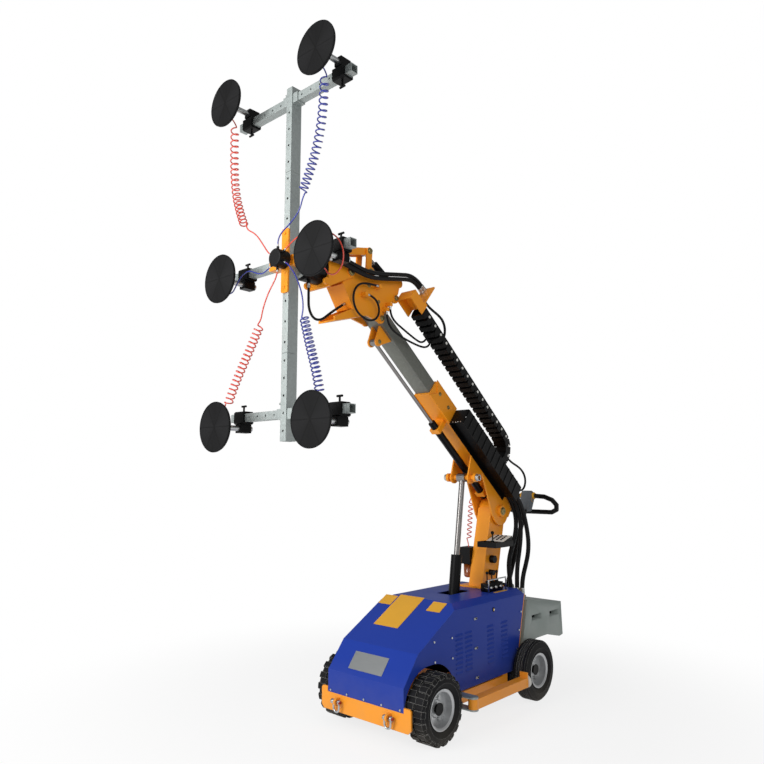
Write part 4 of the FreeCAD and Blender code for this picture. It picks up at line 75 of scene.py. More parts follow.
# Hose routes, in millimetres from the front axle, or along and above the boom's pivot line
TUBE_LEAD = 16
COIL_STEPS = 4
ROUTE_STEPS = 12
TOP_CROWDING = 0.25
LOW_CROWDING = 0.05

# Coils: the colour, the pad's end, the manifold's end and its way out, turns, axis and last run
COILS = {
    "coil_red_top": ("red", (-420, -1023.5, 3815), (-60.6, -959, 2855), (-0.866, 0, 0.5), 20,
                     ((-425, -985, 3760), (-424, -985, 3560), (-398, -985, 3330), (-340, -985, 3170),
                      (-298, -985, 3090)),
                     ((-270, -985, 3052), (-190, -978, 3010), (-130, -966, 2930), (-92, -960, 2876))),
    "coil_blue_top": ("blue", (420, -1023.5, 3815), (0, -959, 2890), (0, 0, 1), 20,
                      ((408, -985, 3760), (402, -985, 3580), (362, -985, 3390), (300, -985, 3250),
                       (239, -985, 3148)),
                      ((238, -985, 3104), (214, -984, 3040), (128, -978, 2990), (30, -966, 2960),
                       (0, -960, 2924))),
    "coil_red_low": ("red", (-420, -1023.5, 1939), (0, -959, 2750), (0, 0, -1), 18,
                     ((-405, -985, 1996), (-352, -985, 2098), (-262, -985, 2226), (-186, -985, 2330),
                      (-122, -985, 2427)),
                     ((-108, -985, 2466), (-98, -982, 2530), (-62, -974, 2620), (-14, -964, 2690))),
    "coil_blue_low": ("blue", (420, -1023.5, 1939), (60.6, -959, 2785), (0.866, 0, -0.5), 18,
                      ((402, -985, 1996), (378, -985, 2100), (334, -985, 2222), (300, -985, 2320),
                       (268, -985, 2424)),
                      ((262, -985, 2470), (246, -982, 2560), (178, -972, 2680), (104, -962, 2758))),
}

# Plain vacuum tubes: the colour and the route
LINKS = {
    "link_red": ("red", ((60.6, -959, 2855), (134, -959, 2897.4), (232, -966, 2912), (334, -970, 2902),
                         (436, -972, 2874), (520, -972, 2812), (560, -972, 2732), (548, -970, 2656),
                         (490, -968, 2618), (434, -970, 2636), (420, -975, 2672), (420, -1023.5, 2672))),
    "link_blue": ("blue", ((-60.6, -959, 2785), (-122, -959, 2750), (-186, -962, 2764), (-260, -966, 2800),
                           (-330, -968, 2782), (-380, -968, 2732), (-420, -975, 2672),
                           (-420, -1023.5, 2672))),
}

# Mast coil and hydraulic hoses, from one end to the other
MAST_COIL_TURNS = 8
MAST_COIL_LOW = (-110, 1062.5, 1028)
MAST_COIL_AXIS = ((-112, 1072, 1085), (-114, 1086, 1180), (-115, 1100, 1280), (-116, 1112, 1362))
MAST_COIL_HIGH = ((-112, 1124, 1412), (-96, 1129.8, 1429.9), (-82, 1129.8, 1429.9))
TAIL_ROUTES = {
    104: ((1310, 665), (1310, 740), (1290, 826), (1290, 914), (1326, 998), (1380, 1078), (1414, 1170),
          (1408, 1265), (1366, 1344)),
    142: ((1340, 665), (1340, 770), (1352, 880), (1388, 985), (1414, 1090), (1420, 1190), (1402, 1275),
          (1366, 1344)),
    180: ((1350, 665), (1350, 735), (1374, 815), (1418, 890), (1456, 970), (1466, 1058), (1450, 1145),
          (1424, 1228), (1398, 1290), (1366, 1344)),
}
TAIL_RUN_IN = ((-28, 136), (90, 136))
BUNDLE_X = 122
BUNDLES = {
    "bundle_lower": (((1740, 550), (1785, 550)),
                     ((145, 2886), (87, 2896), (-10, 2878), (-125, 2855), (-240, 2833), (-350, 2828),
                      (-455, 2845), (-550, 2862), (-620, 2864), (-690, 2864))),
    "bundle_upper": (((1740, 580), (1785, 580)),
                     ((155, 2914.5), (87, 2926.5), (-10, 2909), (-125, 2886), (-240, 2864), (-350, 2859),
                      (-455, 2876), (-550, 2892), (-620, 2894), (-690, 2894))),
}
CHAIN_HOSE_X = 150
CHAIN_HOSE = ((1728, 490), (1690, 490), (1639, 499), (1586, 518), (1534, 537), (1488, 542), (1444, 526),
              (1412, 490), (1400, 443), (1400, 412.3))
PLATE_LOOP_X = 108
PLATE_LOOP = ((-212, 2790), (-330, 2790), (-415.6, 2754.6), (-451, 2669), (-415.6, 2583.4), (-330, 2548),
              (-282, 2548), (-223.3, 2572.3), (-199, 2631), (-223.3, 2689.7), (-282, 2714), (-318, 2714))
HANGING_HOSES = {
    "hanging_lower": (((-130, 2638), (-130, 2604), (-114, 2560), (-78, 2524), (-20, 2500), (60, 2479),
                       (140, 2463), (210, 2453), (262, 2452)), ((1451, 317.7), (1451, 347.7))),
    "hanging_upper": (((-96, 2678), (-96, 2648), (-80, 2608), (-40, 2576), (23, 2550), (100, 2519),
                       (170, 2493), (222, 2480)), ((1500, 317.7), (1500, 347.7))),
}
BEND_HOSE_X = 190
BEND_HOSE = ((291, 279), (235, 290), (170, 316), (110, 335), (50, 340), (-6.6, 316.6), (-30, 260),
             (-6.6, 203.4), (50, 180), (90, 180))
RISER = ((20, -735, 2712), (20, -735, 2632), (20, -732, 2556), (20, -692, 2502), (20, -628, 2506),
         (20, -562, 2558), (20, -496.2, 2604.2), (20, -431, 2647))

# Hinge pins: the joint, the nodes that carry them, their body and radius in millimetres
PINS = (
    ("boom_lift", ("outer_boom", "mast"), "boom", 26),
    ("head_tilt", ("boom_head", "tilt_bracket"), "boom_inner", 24),
    ("rocker_swing", ("boom_head", "rocker_links"), "boom_inner", 20),
    ("tilt_link_swing", ("rocker_links", "tilt_link"), "rocker", 18),
)
LIFT_PIN_R = 25
LINK_END = (-438, 2989)
LINK_PIN_R = 18
HEAD_PINS = ((-150, 2592), (-6, 2755))
HEAD_PIN_R = 16

# Hose fittings: length and height, the way the hose leaves, distance to the side, hose radius, body
FITTINGS = (
    ((-735, 2712), (0, 0, -1), 20, 8, "tilt_head"),
    ((-431, 2647), (0, -0.836, -0.549), 20, 8, "boom_inner"),
    ((-212, 2790), (0, -1, 0), 108, 7, "boom_inner"),
    ((-318, 2714), (0, 1, 0), 108, 7, "boom_inner"),
    ((-130, 2638), (0, 0, -1), 108, 7, "boom_inner"),
    ((-96, 2678), (0, 0, -1), 108, 7, "boom_inner"),
    ((-690, 2864), (0, 1, 0), 122, 14, "tilt_head"),
    ((-690, 2894), (0, 1, 0), 122, 14, "tilt_head"),
    ((1310, 665), (0, 0, 1), 104, 17, "chassis"),
    ((1340, 665), (0, 0, 1), 142, 17, "chassis"),
    ((1350, 665), (0, 0, 1), 180, 17, "chassis"),
)

# Fittings on the boom: distances along, above and beside it, hose radius, way along and body
BOOM_FITTINGS = (
    (1740, 550, 122, 14, 1, "boom_inner"),
    (1740, 580, 122, 14, 1, "boom_inner"),
    (1728, 490, 150, 9, -1, "boom_inner"),
    (90, 180, 190, 8, -1, "boom"),
)

# Bolt heads on both sides: the node, its body, the length and height, and the radius
BOLTS = (
    ("outer_boom", "boom", 473, 2147, 11),
    ("outer_boom", "boom", 570, 2059, 11),
    ("boom_head", "boom_inner", -265, 2793, 12),
    ("boom_head", "boom_inner", -170, 2700, 9),
    ("boom_head", "boom_inner", -123, 2445, 11),
)

# Where the second finish of a node begins, in millimetres
SHACKLE_PIN_R = 8.6
BOWL_TOP_Z = 904.9
NOSE_PLATE_Y = -85
VALVE_PLASTIC = (206, 849)
STABILISER_LATCH_Y = 600
# The painted shade in the counterweight's lifting slots reaches this far past their edges and into their walls
SLOT_EDGE = 2
SLOT_DEPTH = 6
TILLER_SEAM_Z = 1313
TILLER_CORE_X = 48.5

# Hood locks and latches, in millimetres
HOOD_SIDE_X = 315
HOOD_LOCK = (740, 658)
HOOD_LATCHES = ((518, 630), (520, 443), (527, 257))
LATCH_SIZE = (6, 36, 14)
LATCH_ROUND = 2.4
LATCH_OUT = 3
STUD_OUT = 5
STUD_AHEAD = 9

# Tiller head, in millimetres
TILLER_HEAD = (1748, 1325)
TILLER_SHELL = (104, 72, 172)
TILLER_SHELL_ROUND = 20
TILLER_SHELL_UP = 41
TILLER_GRIP_X = 50
TILLER_GRIP_UP = 90
TILLER_PLATE = (4, 36, 24)
TILLER_PLATE_ROUND = 1.6
TILLER_PLATE_X = 52
TILLER_PLATE_UP = 48

# Suction pads and wheel nuts, in millimetres
PAD_X = 420
PAD_FACE_Y = -1071
PAD_ROWS_Z = (3899, 2756, 1855)
PAD_LIP = 2.5
PAD_WALL = 9
PAD_DEPTH = 36
PAD_HUB_R = 34
PAD_HUB_DEPTH = 18
PAD_PORT_SIDES = (-1, -1, 1)
PAD_PORT_DROP = 84
PAD_PORT_BACK = 20
NUT_HEIGHT = 12
NUT_OUT = 4

# Energy chain, in millimetres beside, along and above the boom
CHAIN_NEAR_X = 200
CHAIN_PIN_N = 391
CHAIN_PIN_R = 10
CHAIN_PIN_HEIGHT = 4
CHAIN_RUN_U = (1640, 440)
CHAIN_BEND_N = 262
CHAIN_BEND_TURN = 78
CHAIN_CABLE = 27
CHAIN_CABLE_X = (118, 146, 174)
CHAIN_MID_N = 380
CHAIN_FIXED_U = 866
CHAIN_SLIDE_U = 1420

# Dark plates of painted shade inside the rear wheels, duct end and switch panel, in millimetres
SHADE_PLATE_BOX = ((298, 905, 131), (304, 1030, 236))
SHADE_PLATE_ROUND = 1
DUCT_END_U = 910
DUCT_END = (148, 145, 116, 128)
DUCT_END_THICK = 5
DUCT_END_ROUND = 1.5
DUCT_SCREW_N = 92
DUCT_SCREW_X = (114, 136, 158, 180)
TRAY_PANEL = (66, 216, 1042, 1166, 1086, 1124)
TRAY_PANEL_DEPTH = 30
TRAY_BUTTON_Y = (1076, 1100, 1124, 1148)
TRAY_BUTTON_X = (104, 140, 176)

# Turned profiles: points along and out from the axis, in millimetres
PAD_BARB = ((0, 0), (0, 10), (14, 10), (15, 8), (27, 8), (27.5, 7), (27.5, 0))
DUCT_SCREW = ((0, 0), (0, 5), (2, 5), (3, 3.5), (3, 0))
TRAY_BUTTON = ((0, 0), (0, 8), (4, 8), (5.5, 6.5), (5.5, 0))
LOCK_RIM = ((0, 0), (0, 15), (2, 15), (3.5, 13), (3.5, 10), (2.5, 9.5), (2.5, 0))
LOCK_CORE = ((2.4, 0), (2.4, 9), (4, 9), (4.5, 8), (4.5, 0))
LATCH_STUD = ((0, 0), (0, 5), (3, 5), (4, 4), (4, 0))
GRIP_COLLAR = ((0, 0), (0, 28), (10, 28), (13, 26), (15, 21), (15, 0))

# Stage, in metres: the lights' name, place, width and share of the key light's power
LIGHTS = (("front_light", (-1.2, -6.0, 3.6), 3.4, 1.0), ("side_light", (4.8, -2.5, 3.8), 3.0, 0.22))
LIGHT_AIM = (0, -0.3, 1.6)
FLOOR_SIZE = 40
SENSOR_MM = 36


# Numbers and places
def linear(code):
    """The scene-linear colour of an sRGB hex code."""
    shares = [int(code[i:i + 2], 16) / 255 for i in (0, 2, 4)]
    return tuple(c / 12.92 if c <= 0.04045 else ((c + 0.055) / 1.055) ** 2.4 for c in shares)


def place(x, y, z):
    """A point given in millimetres from the front axle, in the frame's metres."""
    return Vector((x * MM, y * MM + AXLE_Y, z * MM))


def boom_place(x, along, up):
    """A point given in millimetres along and above the boom's pivot line."""
    point = BOOM_PIVOT + BOOM_ALONG * along * MM + BOOM_UP * up * MM
    return Vector((x * MM, point.y, point.z))


# Settings
def tint(label, use, code):
    """A colour setting with its default given as an sRGB hex code."""
    return FloatVectorProperty(name=label, description=use, subtype="COLOR", size=3, min=0, max=1,
                               default=linear(code))


def length(label, use, millimetres):
    """A length setting with its default given in millimetres."""
    return FloatProperty(name=label, description=use, unit="LENGTH", min=0, default=millimetres * MM)


class LifterColours(bpy.types.PropertyGroup):
    orange: tint("Orange coat", "Powder coat of the boom, mast, chassis and bumper", "FB9E1E")
    blue: tint("Blue coat", "Powder coat of the hood", "203C9C")
    grey: tint("Grey coat", "Paint of the cast counterweight", "9AA4A0")
    black: tint("Black coat", "Satin paint of the duct, cylinders, clamps and axles", "070708")
    zinc: tint("Galvanised zinc", "Hot-dip zinc of the beam and cross tubes", "AEB6B4")
    steel: tint("Dull zinc", "Weathered zinc of the inner boom", "7E8079")
    wheel: tint("Wheel paint", "Silver paint of the pressed rims", "BCBEC0")
    bright: tint("Bright zinc", "Plating of bolts, fittings, stems and shackles", "BDBFBF")
    chrome: tint("Chrome", "Hard chrome of the cylinder rods", "8C8987")
    tyre: tint("Tyre rubber", "Carbon-black tyre compound", "121214")
    pad: tint("Pad rubber", "Moulded rubber of the suction pads", "151516")
    plastic: tint("Black plastic", "Moulded nylon and ABS of the chain, manifold and controls", "070708")
    housing: tint("Grey plastic", "Moulded shell of the tiller head", "666B70")
    sleeve: tint("Hose sleeve", "Woven sleeve of the hydraulic hoses and chain cables", "070709")
    red: tint("Red tube", "Polyurethane vacuum tubes of the far side and the mast", "E4452F")
    tube_blue: tint("Blue tube", "Polyurethane vacuum tubes of the near side", "26349B")
    plate: tint("Yellow plate", "Blank plates on the hood and trim of the tiller", "E2A62A")
    amber: tint("Amber bowl", "Polycarbonate bowl of the vacuum filter", "A8561C")
    nylon: tint("White nylon", "Stabiliser rollers, chain pins and switch panel", "DCDCD6")
    pin: tint("Red pin", "Painted screw pins of the shackles", "A0191F")
    olive: tint("Yellow zinc", "Passivated zinc of the hinge pins and bolt heads", "9C8F62")
    brass: tint("Brass", "Barrels of the hood locks", "B9924A")


class LifterSizes(bpy.types.PropertyGroup):
    tube: length("Vacuum tube", "Outside diameter of the vacuum tubes", 8)
    coil: length("Coil radius", "Radius of a coil at the middle of its tube", 24)
    mast_coil: length("Mast coil radius", "Radius of the coil beside the mast", 17)
    hose: length("Tail hose", "Outside diameter of the hoses behind the mast", 34)
    bundle: length("Bundle hose", "Outside diameter of the hoses over the boom head", 28)
    chain_hose: length("Chain hose", "Outside diameter of the hose into the chain", 18)
    loop_hose: length("Loop hose", "Outside diameter of the hoses on the head plate", 14)
    small_hose: length("Small hose", "Outside diameter of the riser and of the hose at the bend", 16)
    pad: length("Pad radius", "Outside radius of a suction pad", 150)
    nut: length("Wheel nut", "Radius of a wheel nut over its corners", 11)
    pitch: length("Nut circle", "Radius of the wheel nut circle", 66)
    nuts: IntProperty(name="Wheel nuts", description="Nuts on each wheel", min=3, max=8, default=5)
    links: IntProperty(name="Chain pins", description="Pins along the chain's outer edge", min=2, default=18)


class LifterStage(bpy.types.PropertyGroup):
    camera: FloatVectorProperty(name="Camera", description="Where the camera stands", subtype="TRANSLATION",
                                default=(3.0082, -3.7871, 1.5663))
    azimuth: FloatProperty(name="Azimuth", description="Camera's turn round the machine", subtype="ANGLE",
                           default=math.radians(42.11))
    rise: FloatProperty(name="Rise", description="How far the camera looks up", subtype="ANGLE",
                        default=math.radians(7.885))
    lens: FloatProperty(name="Lens", description="Focal length on a 36 mm sensor", min=1, default=32.12)
    key: FloatProperty(name="Key light", description="Power of the front light", unit="POWER", default=290)
    fill: FloatProperty(name="Sky light", description="Strength of the white surroundings", default=0.32)


def settings(kind):
    """One of the scene's groups of settings."""
    return getattr(bpy.context.scene, "lifter_" + kind)


# Materials
def add(tree, kind, inputs=None, **values):
    """A node with its settings, its inputs given as values or linked sockets."""
    node = tree.nodes.new(kind if kind.startswith("GeometryNode") else "ShaderNode" + kind)
    for key, value in values.items():
        setattr(node, key, value)
    for key, value in (inputs or {}).items():
        if isinstance(value, bpy.types.NodeSocket):
            tree.links.new(value, node.inputs[key])
        else:
            node.inputs[key].default_value = value
    return node


def start(name):
    """A new material, with its tree, its texture coordinates and its shader."""
    material = bpy.data.materials.new(name)
    material.use_nodes = True
    tree = material.node_tree
    return material, tree, add(tree, "TexCoord").outputs, tree.nodes["Principled BSDF"]


def per_mm(size):
    """The texture scale whose features are that many millimetres wide."""
    return 1 / (size * MM)


def finish(tree, shader, links, **values):
    """Links sockets to the shader, and sets its constants."""
    for key, socket in links.items():
        tree.links.new(socket, shader.inputs[key])
    for key, value in values.items():
        shader.inputs[key.replace("_", " ")].default_value = value


def blotched(tree, where, colour, size, low, high):
    """The colour, made lighter and darker in soft patches of that size."""
    patches = add(tree, "TexNoise", {"Vector": where, "Scale": per_mm(size), "Detail": 4.0})
    value = add(tree, "MapRange", {"Value": patches.outputs["Fac"], "To Min": low, "To Max": high})
    return add(tree, "HueSaturation", {"Value": value.outputs["Result"], "Color": (*colour, 1)})


def dusted(tree, where, colour, reach):
    """The colour with pale road dust that thins out upwards, in drifts."""
    up = add(tree, "SeparateXYZ", {"Vector": where})
    fade = add(tree, "MapRange", {"Value": up.outputs["Z"], "From Min": 0.0, "From Max": reach * MM,
                                  "To Min": 0.22, "To Max": 0.0})
    drift = add(tree, "TexNoise", {"Vector": where, "Scale": per_mm(90), "Detail": 6.0})
    share = add(tree, "Math", {0: fade.outputs["Result"], 1: drift.outputs["Fac"]}, operation="MULTIPLY")
    return add(tree, "Mix", {0: share.outputs["Value"], 6: colour, 7: (*linear("A09888"), 1)},
               data_type="RGBA").outputs[2]


def rounded(tree, radius):
    """Normals that soften a cut edge to that radius, so that it catches the light."""
    return add(tree, "Bevel", {"Radius": radius * MM}, samples=4).outputs["Normal"]


def edge_highlight_and_wear(tree, colour, paler, radius, strength):
    """The colour, paler along the edges within that radius of a corner: a painted edge highlight, on the tyre
    mixed with worn dust.
    """
    flat = add(tree, "NewGeometry").outputs["Normal"]
    lean = add(tree, "VectorMath", {0: flat, 1: rounded(tree, radius)}, operation="DOT_PRODUCT")
    edge = add(tree, "MapRange", {"Value": lean.outputs["Value"], "From Min": 0.98, "From Max": 0.8,
                                  "To Min": 0.0, "To Max": strength})
    return add(tree, "Mix", {0: edge.outputs["Result"], 6: colour, 7: (*linear(paler), 1)},
               data_type="RGBA").outputs[2]


def powder_coat(name, colour, edge, gloss):
    # Powder coat on steel: an even gloss with a faint orange peel, softened edges with a painted highlight along
    # them, and dust low down.
    # The peel is about 2 mm across and is drawn at 5 mm so that it shows.
    material, tree, at, shader = start(name)
    tone = blotched(tree, at["Object"], colour, 320, 0.95, 1.04)
    peel = add(tree, "TexNoise", {"Vector": at["Object"], "Scale": per_mm(5), "Detail": 2.0})
    bump = add(tree, "Bump", {"Height": peel.outputs["Fac"], "Strength": 0.12, "Distance": 0.15 * MM,
                              "Normal": rounded(tree, 2.5)})
    smear = add(tree, "TexNoise", {"Vector": at["Object"], "Scale": per_mm(140), "Detail": 6.0})
    rough = add(tree, "MapRange", {"Value": smear.outputs["Fac"], "To Min": 0.26, "To Max": 0.42})
    # Painted highlight: the edges turn paler, towards the edge colour.
    shown = edge_highlight_and_wear(tree, tone.outputs["Color"], edge, 3, 0.3)
    finish(tree, shader, {"Base Color": dusted(tree, at["Object"], shown, 420),
                          "Roughness": rough.outputs["Result"], "Normal": bump.outputs["Normal"]},
           Specular_IOR_Level=gloss, Coat_Weight=gloss / 5, Coat_Roughness=0.12)
    return material


def galvanised(name, colour):
    # Hot-dip galvanised tube: dull metal with leaf-shaped zinc spangles about 12 mm across.
    material, tree, at, shader = start(name)
    spangle = add(tree, "TexVoronoi", {"Vector": at["Object"], "Scale": per_mm(12)})
    leaf = add(tree, "SeparateColor", {"Color": spangle.outputs["Color"]})
    value = add(tree, "MapRange", {"Value": leaf.outputs["Red"], "To Min": 0.93, "To Max": 1.04})
    cloud = blotched(tree, at["Object"], colour, 160, 0.92, 1.05)
    tone = add(tree, "HueSaturation", {"Value": value.outputs["Result"], "Color": cloud.outputs["Color"]})
    rough = add(tree, "MapRange", {"Value": leaf.outputs["Green"], "To Min": 0.42, "To Max": 0.54})
    finish(tree, shader, {"Base Color": tone.outputs["Color"], "Roughness": rough.outputs["Result"],
                          "Normal": rounded(tree, 3)}, Metallic=0.6)
    return material


def cast_paint():
    # Painted casting: matt grey over a skin of shallow sand marks a few millimetres across.
    material, tree, at, shader = start("painted_casting")
    tone = blotched(tree, at["Object"], settings("colours").grey, 180, 0.92, 1.05)
    sand = add(tree, "TexNoise", {"Vector": at["Object"], "Scale": per_mm(7), "Detail": 5.0})
    bump = add(tree, "Bump", {"Height": sand.outputs["Fac"], "Strength": 0.35, "Distance": 0.5 * MM,
                              "Normal": rounded(tree, 6)})
    finish(tree, shader, {"Base Color": dusted(tree, at["Object"], tone.outputs["Color"], 700),
                          "Normal": bump.outputs["Normal"]}, Roughness=0.5)
    return material


def satin_black():
    # Satin black paint on plate and cylinder barrels: soft reflections, slightly uneven.
    material, tree, at, shader = start("satin_black_paint")
    tone = blotched(tree, at["Object"], settings("colours").black, 120, 0.8, 1.3)
    smear = add(tree, "TexNoise", {"Vector": at["Object"], "Scale": per_mm(60), "Detail": 5.0})
    rough = add(tree, "MapRange", {"Value": smear.outputs["Fac"], "To Min": 0.34, "To Max": 0.5})
    finish(tree, shader, {"Base Color": tone.outputs["Color"], "Roughness": rough.outputs["Result"],
                          "Normal": rounded(tree, 2)}, Specular_IOR_Level=0.15)
    return material


def wheel_paint():
    # Silver wheel lacquer: fine aluminium flake in a satin clear coat, with brake dust low down.
    material, tree, at, shader = start("silver_wheel_lacquer")
    tone = blotched(tree, at["Object"], settings("colours").wheel, 60, 0.88, 1.06)
    flake = add(tree, "TexVoronoi", {"Vector": at["Object"], "Scale": per_mm(2)})
    rough = add(tree, "MapRange", {"Value": flake.outputs["Distance"], "To Min": 0.3, "To Max": 0.42})
    finish(tree, shader, {"Base Color": dusted(tree, at["Object"], tone.outputs["Color"], 300),
                          "Roughness": rough.outputs["Result"], "Normal": rounded(tree, 2)},
           Metallic=0.55, Coat_Weight=0.2)
    return material


def plated(name, colour, low, high, edge=0.8):
    # Plated steel: bright metal with a faint handling haze, its edges broken by a small radius.
    material, tree, at, shader = start(name)
    haze = add(tree, "TexNoise", {"Vector": at["Object"], "Scale": per_mm(18), "Detail": 6.0})
    rough = add(tree, "MapRange", {"Value": haze.outputs["Fac"], "To Min": low, "To Max": high})
    tone = blotched(tree, at["Object"], colour, 40, 0.9, 1.05)
    sockets = {"Base Color": tone.outputs["Color"], "Roughness": rough.outputs["Result"]}
    if edge:
        sockets["Normal"] = rounded(tree, edge)
    finish(tree, shader, sockets, Metallic=1.0)
    return material


def tyre_rubber():
    # Tyre compound: matt black with grey dust in the grain and a moulded stipple, drawn at 4 mm.
    # The tread's edges are painted pale, partly as a painted highlight and partly as worn dust.
    material, tree, at, shader = start("tyre_rubber")
    tone = blotched(tree, at["Object"], settings("colours").tyre, 45, 0.8, 1.35)
    stipple = add(tree, "TexNoise", {"Vector": at["Object"], "Scale": per_mm(4), "Detail": 4.0})
    bump = add(tree, "Bump", {"Height": stipple.outputs["Fac"], "Strength": 0.3, "Distance": 0.4 * MM,
                              "Normal": rounded(tree, 2)})
    # Pale tread edges: partly painted highlight, partly worn dust.
    shown = edge_highlight_and_wear(tree, tone.outputs["Color"], "B4B3AF", 4, 0.7)
    finish(tree, shader, {"Base Color": dusted(tree, at["Object"], shown, 200),
                          "Normal": bump.outputs["Normal"]}, Roughness=0.68, Specular_IOR_Level=0.2)
    return material


def pad_rubber():
    # Moulded rubber pad: near black, with fine turned rings, six radial grooves in painted shade
    # and the hourglass sheen of a turned face painted into its colour as a painted highlight,
    # all read from its own map of turn and radius.
    material, tree, at, shader = start("pad_rubber")
    across = add(tree, "SeparateXYZ", {"Vector": at["UV"]})
    rings = add(tree, "Math", {0: across.outputs["Y"], 1: 2 * math.pi * 26}, operation="MULTIPLY")
    wave = add(tree, "Math", {0: rings.outputs["Value"]}, operation="SINE")
    # Painted shade: the colour darkens along six radial grooves.
    away = add(tree, "Math", {0: across.outputs["X"], 1: 1 / 12}, operation="PINGPONG")
    reach = add(tree, "Math", {0: away.outputs["Value"], 1: across.outputs["Y"]}, operation="MULTIPLY")
    groove_shade = add(tree, "MapRange", {"Value": reach.outputs["Value"], "From Min": 0.0015, "From Max": 0.005,
                                    "To Min": 0.45, "To Max": 1.0})
    # Painted highlight: two bright wedges of hourglass sheen, with streaks, lighten the colour.
    turn = add(tree, "Math", {0: across.outputs["X"], 1: 4 * math.pi}, operation="MULTIPLY")
    sheen = add(tree, "Math", {0: turn.outputs["Value"]}, operation="COSINE")
    spread = add(tree, "Mapping", {"Vector": at["UV"], "Scale": (9, 0.3, 1)})
    streak = add(tree, "TexNoise", {"Vector": spread.outputs["Vector"], "Scale": 4.0, "Detail": 3.0})
    light = add(tree, "Math", {0: sheen.outputs["Value"], 1: 0.3, 2: streak.outputs["Fac"]},
                operation="MULTIPLY_ADD")
    value = add(tree, "MapRange", {"Value": light.outputs["Value"], "From Min": 0.1, "From Max": 0.9,
                                   "To Min": 0.6, "To Max": 1.5})
    shade = add(tree, "Math", {0: value.outputs["Result"], 1: groove_shade.outputs["Result"]},
                operation="MULTIPLY")
    tone = add(tree, "HueSaturation", {"Value": shade.outputs["Value"],
                                       "Color": (*settings("colours").pad, 1)})
    rough = add(tree, "MapRange", {"Value": streak.outputs["Fac"], "To Min": 0.5, "To Max": 0.75})
    bump = add(tree, "Bump", {"Height": wave.outputs["Value"], "Strength": 0.25, "Distance": 0.3 * MM})
    finish(tree, shader, {"Base Color": tone.outputs["Color"], "Roughness": rough.outputs["Result"],
                          "Normal": bump.outputs["Normal"]}, Specular_IOR_Level=0.12)
    return material


def moulded(name, colour, roughness):
    # Moulded plastic: even colour with a fine spark-eroded grain, drawn at 2 mm.
    material, tree, at, shader = start(name)
    tone = blotched(tree, at["Object"], colour, 70, 0.88, 1.12)
    grain = add(tree, "TexNoise", {"Vector": at["Object"], "Scale": per_mm(2), "Detail": 3.0})
    bump = add(tree, "Bump", {"Height": grain.outputs["Fac"], "Strength": 0.15, "Distance": 0.2 * MM,
                              "Normal": rounded(tree, 1.5)})
    finish(tree, shader, {"Base Color": tone.outputs["Color"], "Normal": bump.outputs["Normal"]},
           Roughness=roughness, Specular_IOR_Level=0.18)
    return material


def polyurethane(name, colour):
    # Polyurethane tube: strong colour under a clear glossy skin, lighter where it is stretched.
    material, tree, at, shader = start(name)
    tone = blotched(tree, at["Object"], colour, 30, 0.9, 1.12)
    finish(tree, shader, {"Base Color": tone.outputs["Color"]}, Roughness=0.3, Coat_Weight=0.6,
           Coat_Roughness=0.1, Subsurface_Weight=0.08)
    return material


def woven_sleeve():
    # Woven nylon hose sleeve: black, with a fine diagonal braid along the hose, drawn at 5 mm.
    material, tree, at, shader = start("woven_hose_sleeve")
    laid = add(tree, "Mapping", {"Vector": at["UV"], "Scale": (180, 12, 1),
                                 "Rotation": (0, 0, math.radians(45))})
    braid = add(tree, "TexChecker", {"Vector": laid.outputs["Vector"], "Scale": 1.0,
                                     "Color1": (0.2, 0.2, 0.2, 1), "Color2": (1, 1, 1, 1)})
    value = add(tree, "MapRange", {"Value": braid.outputs["Fac"], "To Min": 0.7, "To Max": 1.5})
    tone = add(tree, "HueSaturation", {"Value": value.outputs["Result"],
                                       "Color": (*settings("colours").sleeve, 1)})
    bump = add(tree, "Bump", {"Height": braid.outputs["Fac"], "Strength": 0.3, "Distance": 0.4 * MM})
    finish(tree, shader, {"Base Color": tone.outputs["Color"], "Normal": bump.outputs["Normal"]},
           Roughness=0.6, Specular_IOR_Level=0.22, Sheen_Weight=0.04)
    return material


def plate_film():
    # Plate film: satin yellow, a little faded in patches.
    material, tree, at, shader = start("satin_plate_film")
    tone = blotched(tree, at["Object"], settings("colours").plate, 60, 0.94, 1.05)
    finish(tree, shader, {"Base Color": tone.outputs["Color"]}, Roughness=0.45)
    return material


def brushed_plate():
    # Brushed aluminium plate: grey metal with fine straight lines from side to side.
    material, tree, at, shader = start("brushed_aluminium")
    along = add(tree, "Mapping", {"Vector": at["Object"], "Scale": (per_mm(60), per_mm(1), per_mm(1))})
    lines = add(tree, "TexNoise", {"Vector": along.outputs["Vector"], "Scale": 1.0, "Detail": 3.0})
    rough = add(tree, "MapRange", {"Value": lines.outputs["Fac"], "To Min": 0.3, "To Max": 0.55})
    value = add(tree, "MapRange", {"Value": lines.outputs["Fac"], "To Min": 0.8, "To Max": 1.1})
    tone = add(tree, "HueSaturation", {"Value": value.outputs["Result"], "Color": (*linear("9FA2A3"), 1)})
    finish(tree, shader, {"Base Color": tone.outputs["Color"], "Roughness": rough.outputs["Result"]},
           Metallic=0.8)
    return material


def amber_bowl():
    # Polycarbonate bowl: clear amber plastic, darker where the wall is deep.
    material, tree, at, shader = start("amber_polycarbonate")
    tone = blotched(tree, at["Object"], settings("colours").amber, 50, 0.7, 1.3)
    finish(tree, shader, {"Base Color": tone.outputs["Color"]}, Roughness=0.2, Transmission_Weight=0.35,
           IOR=1.58, Coat_Weight=0.3)
    return material


MATERIALS = {}


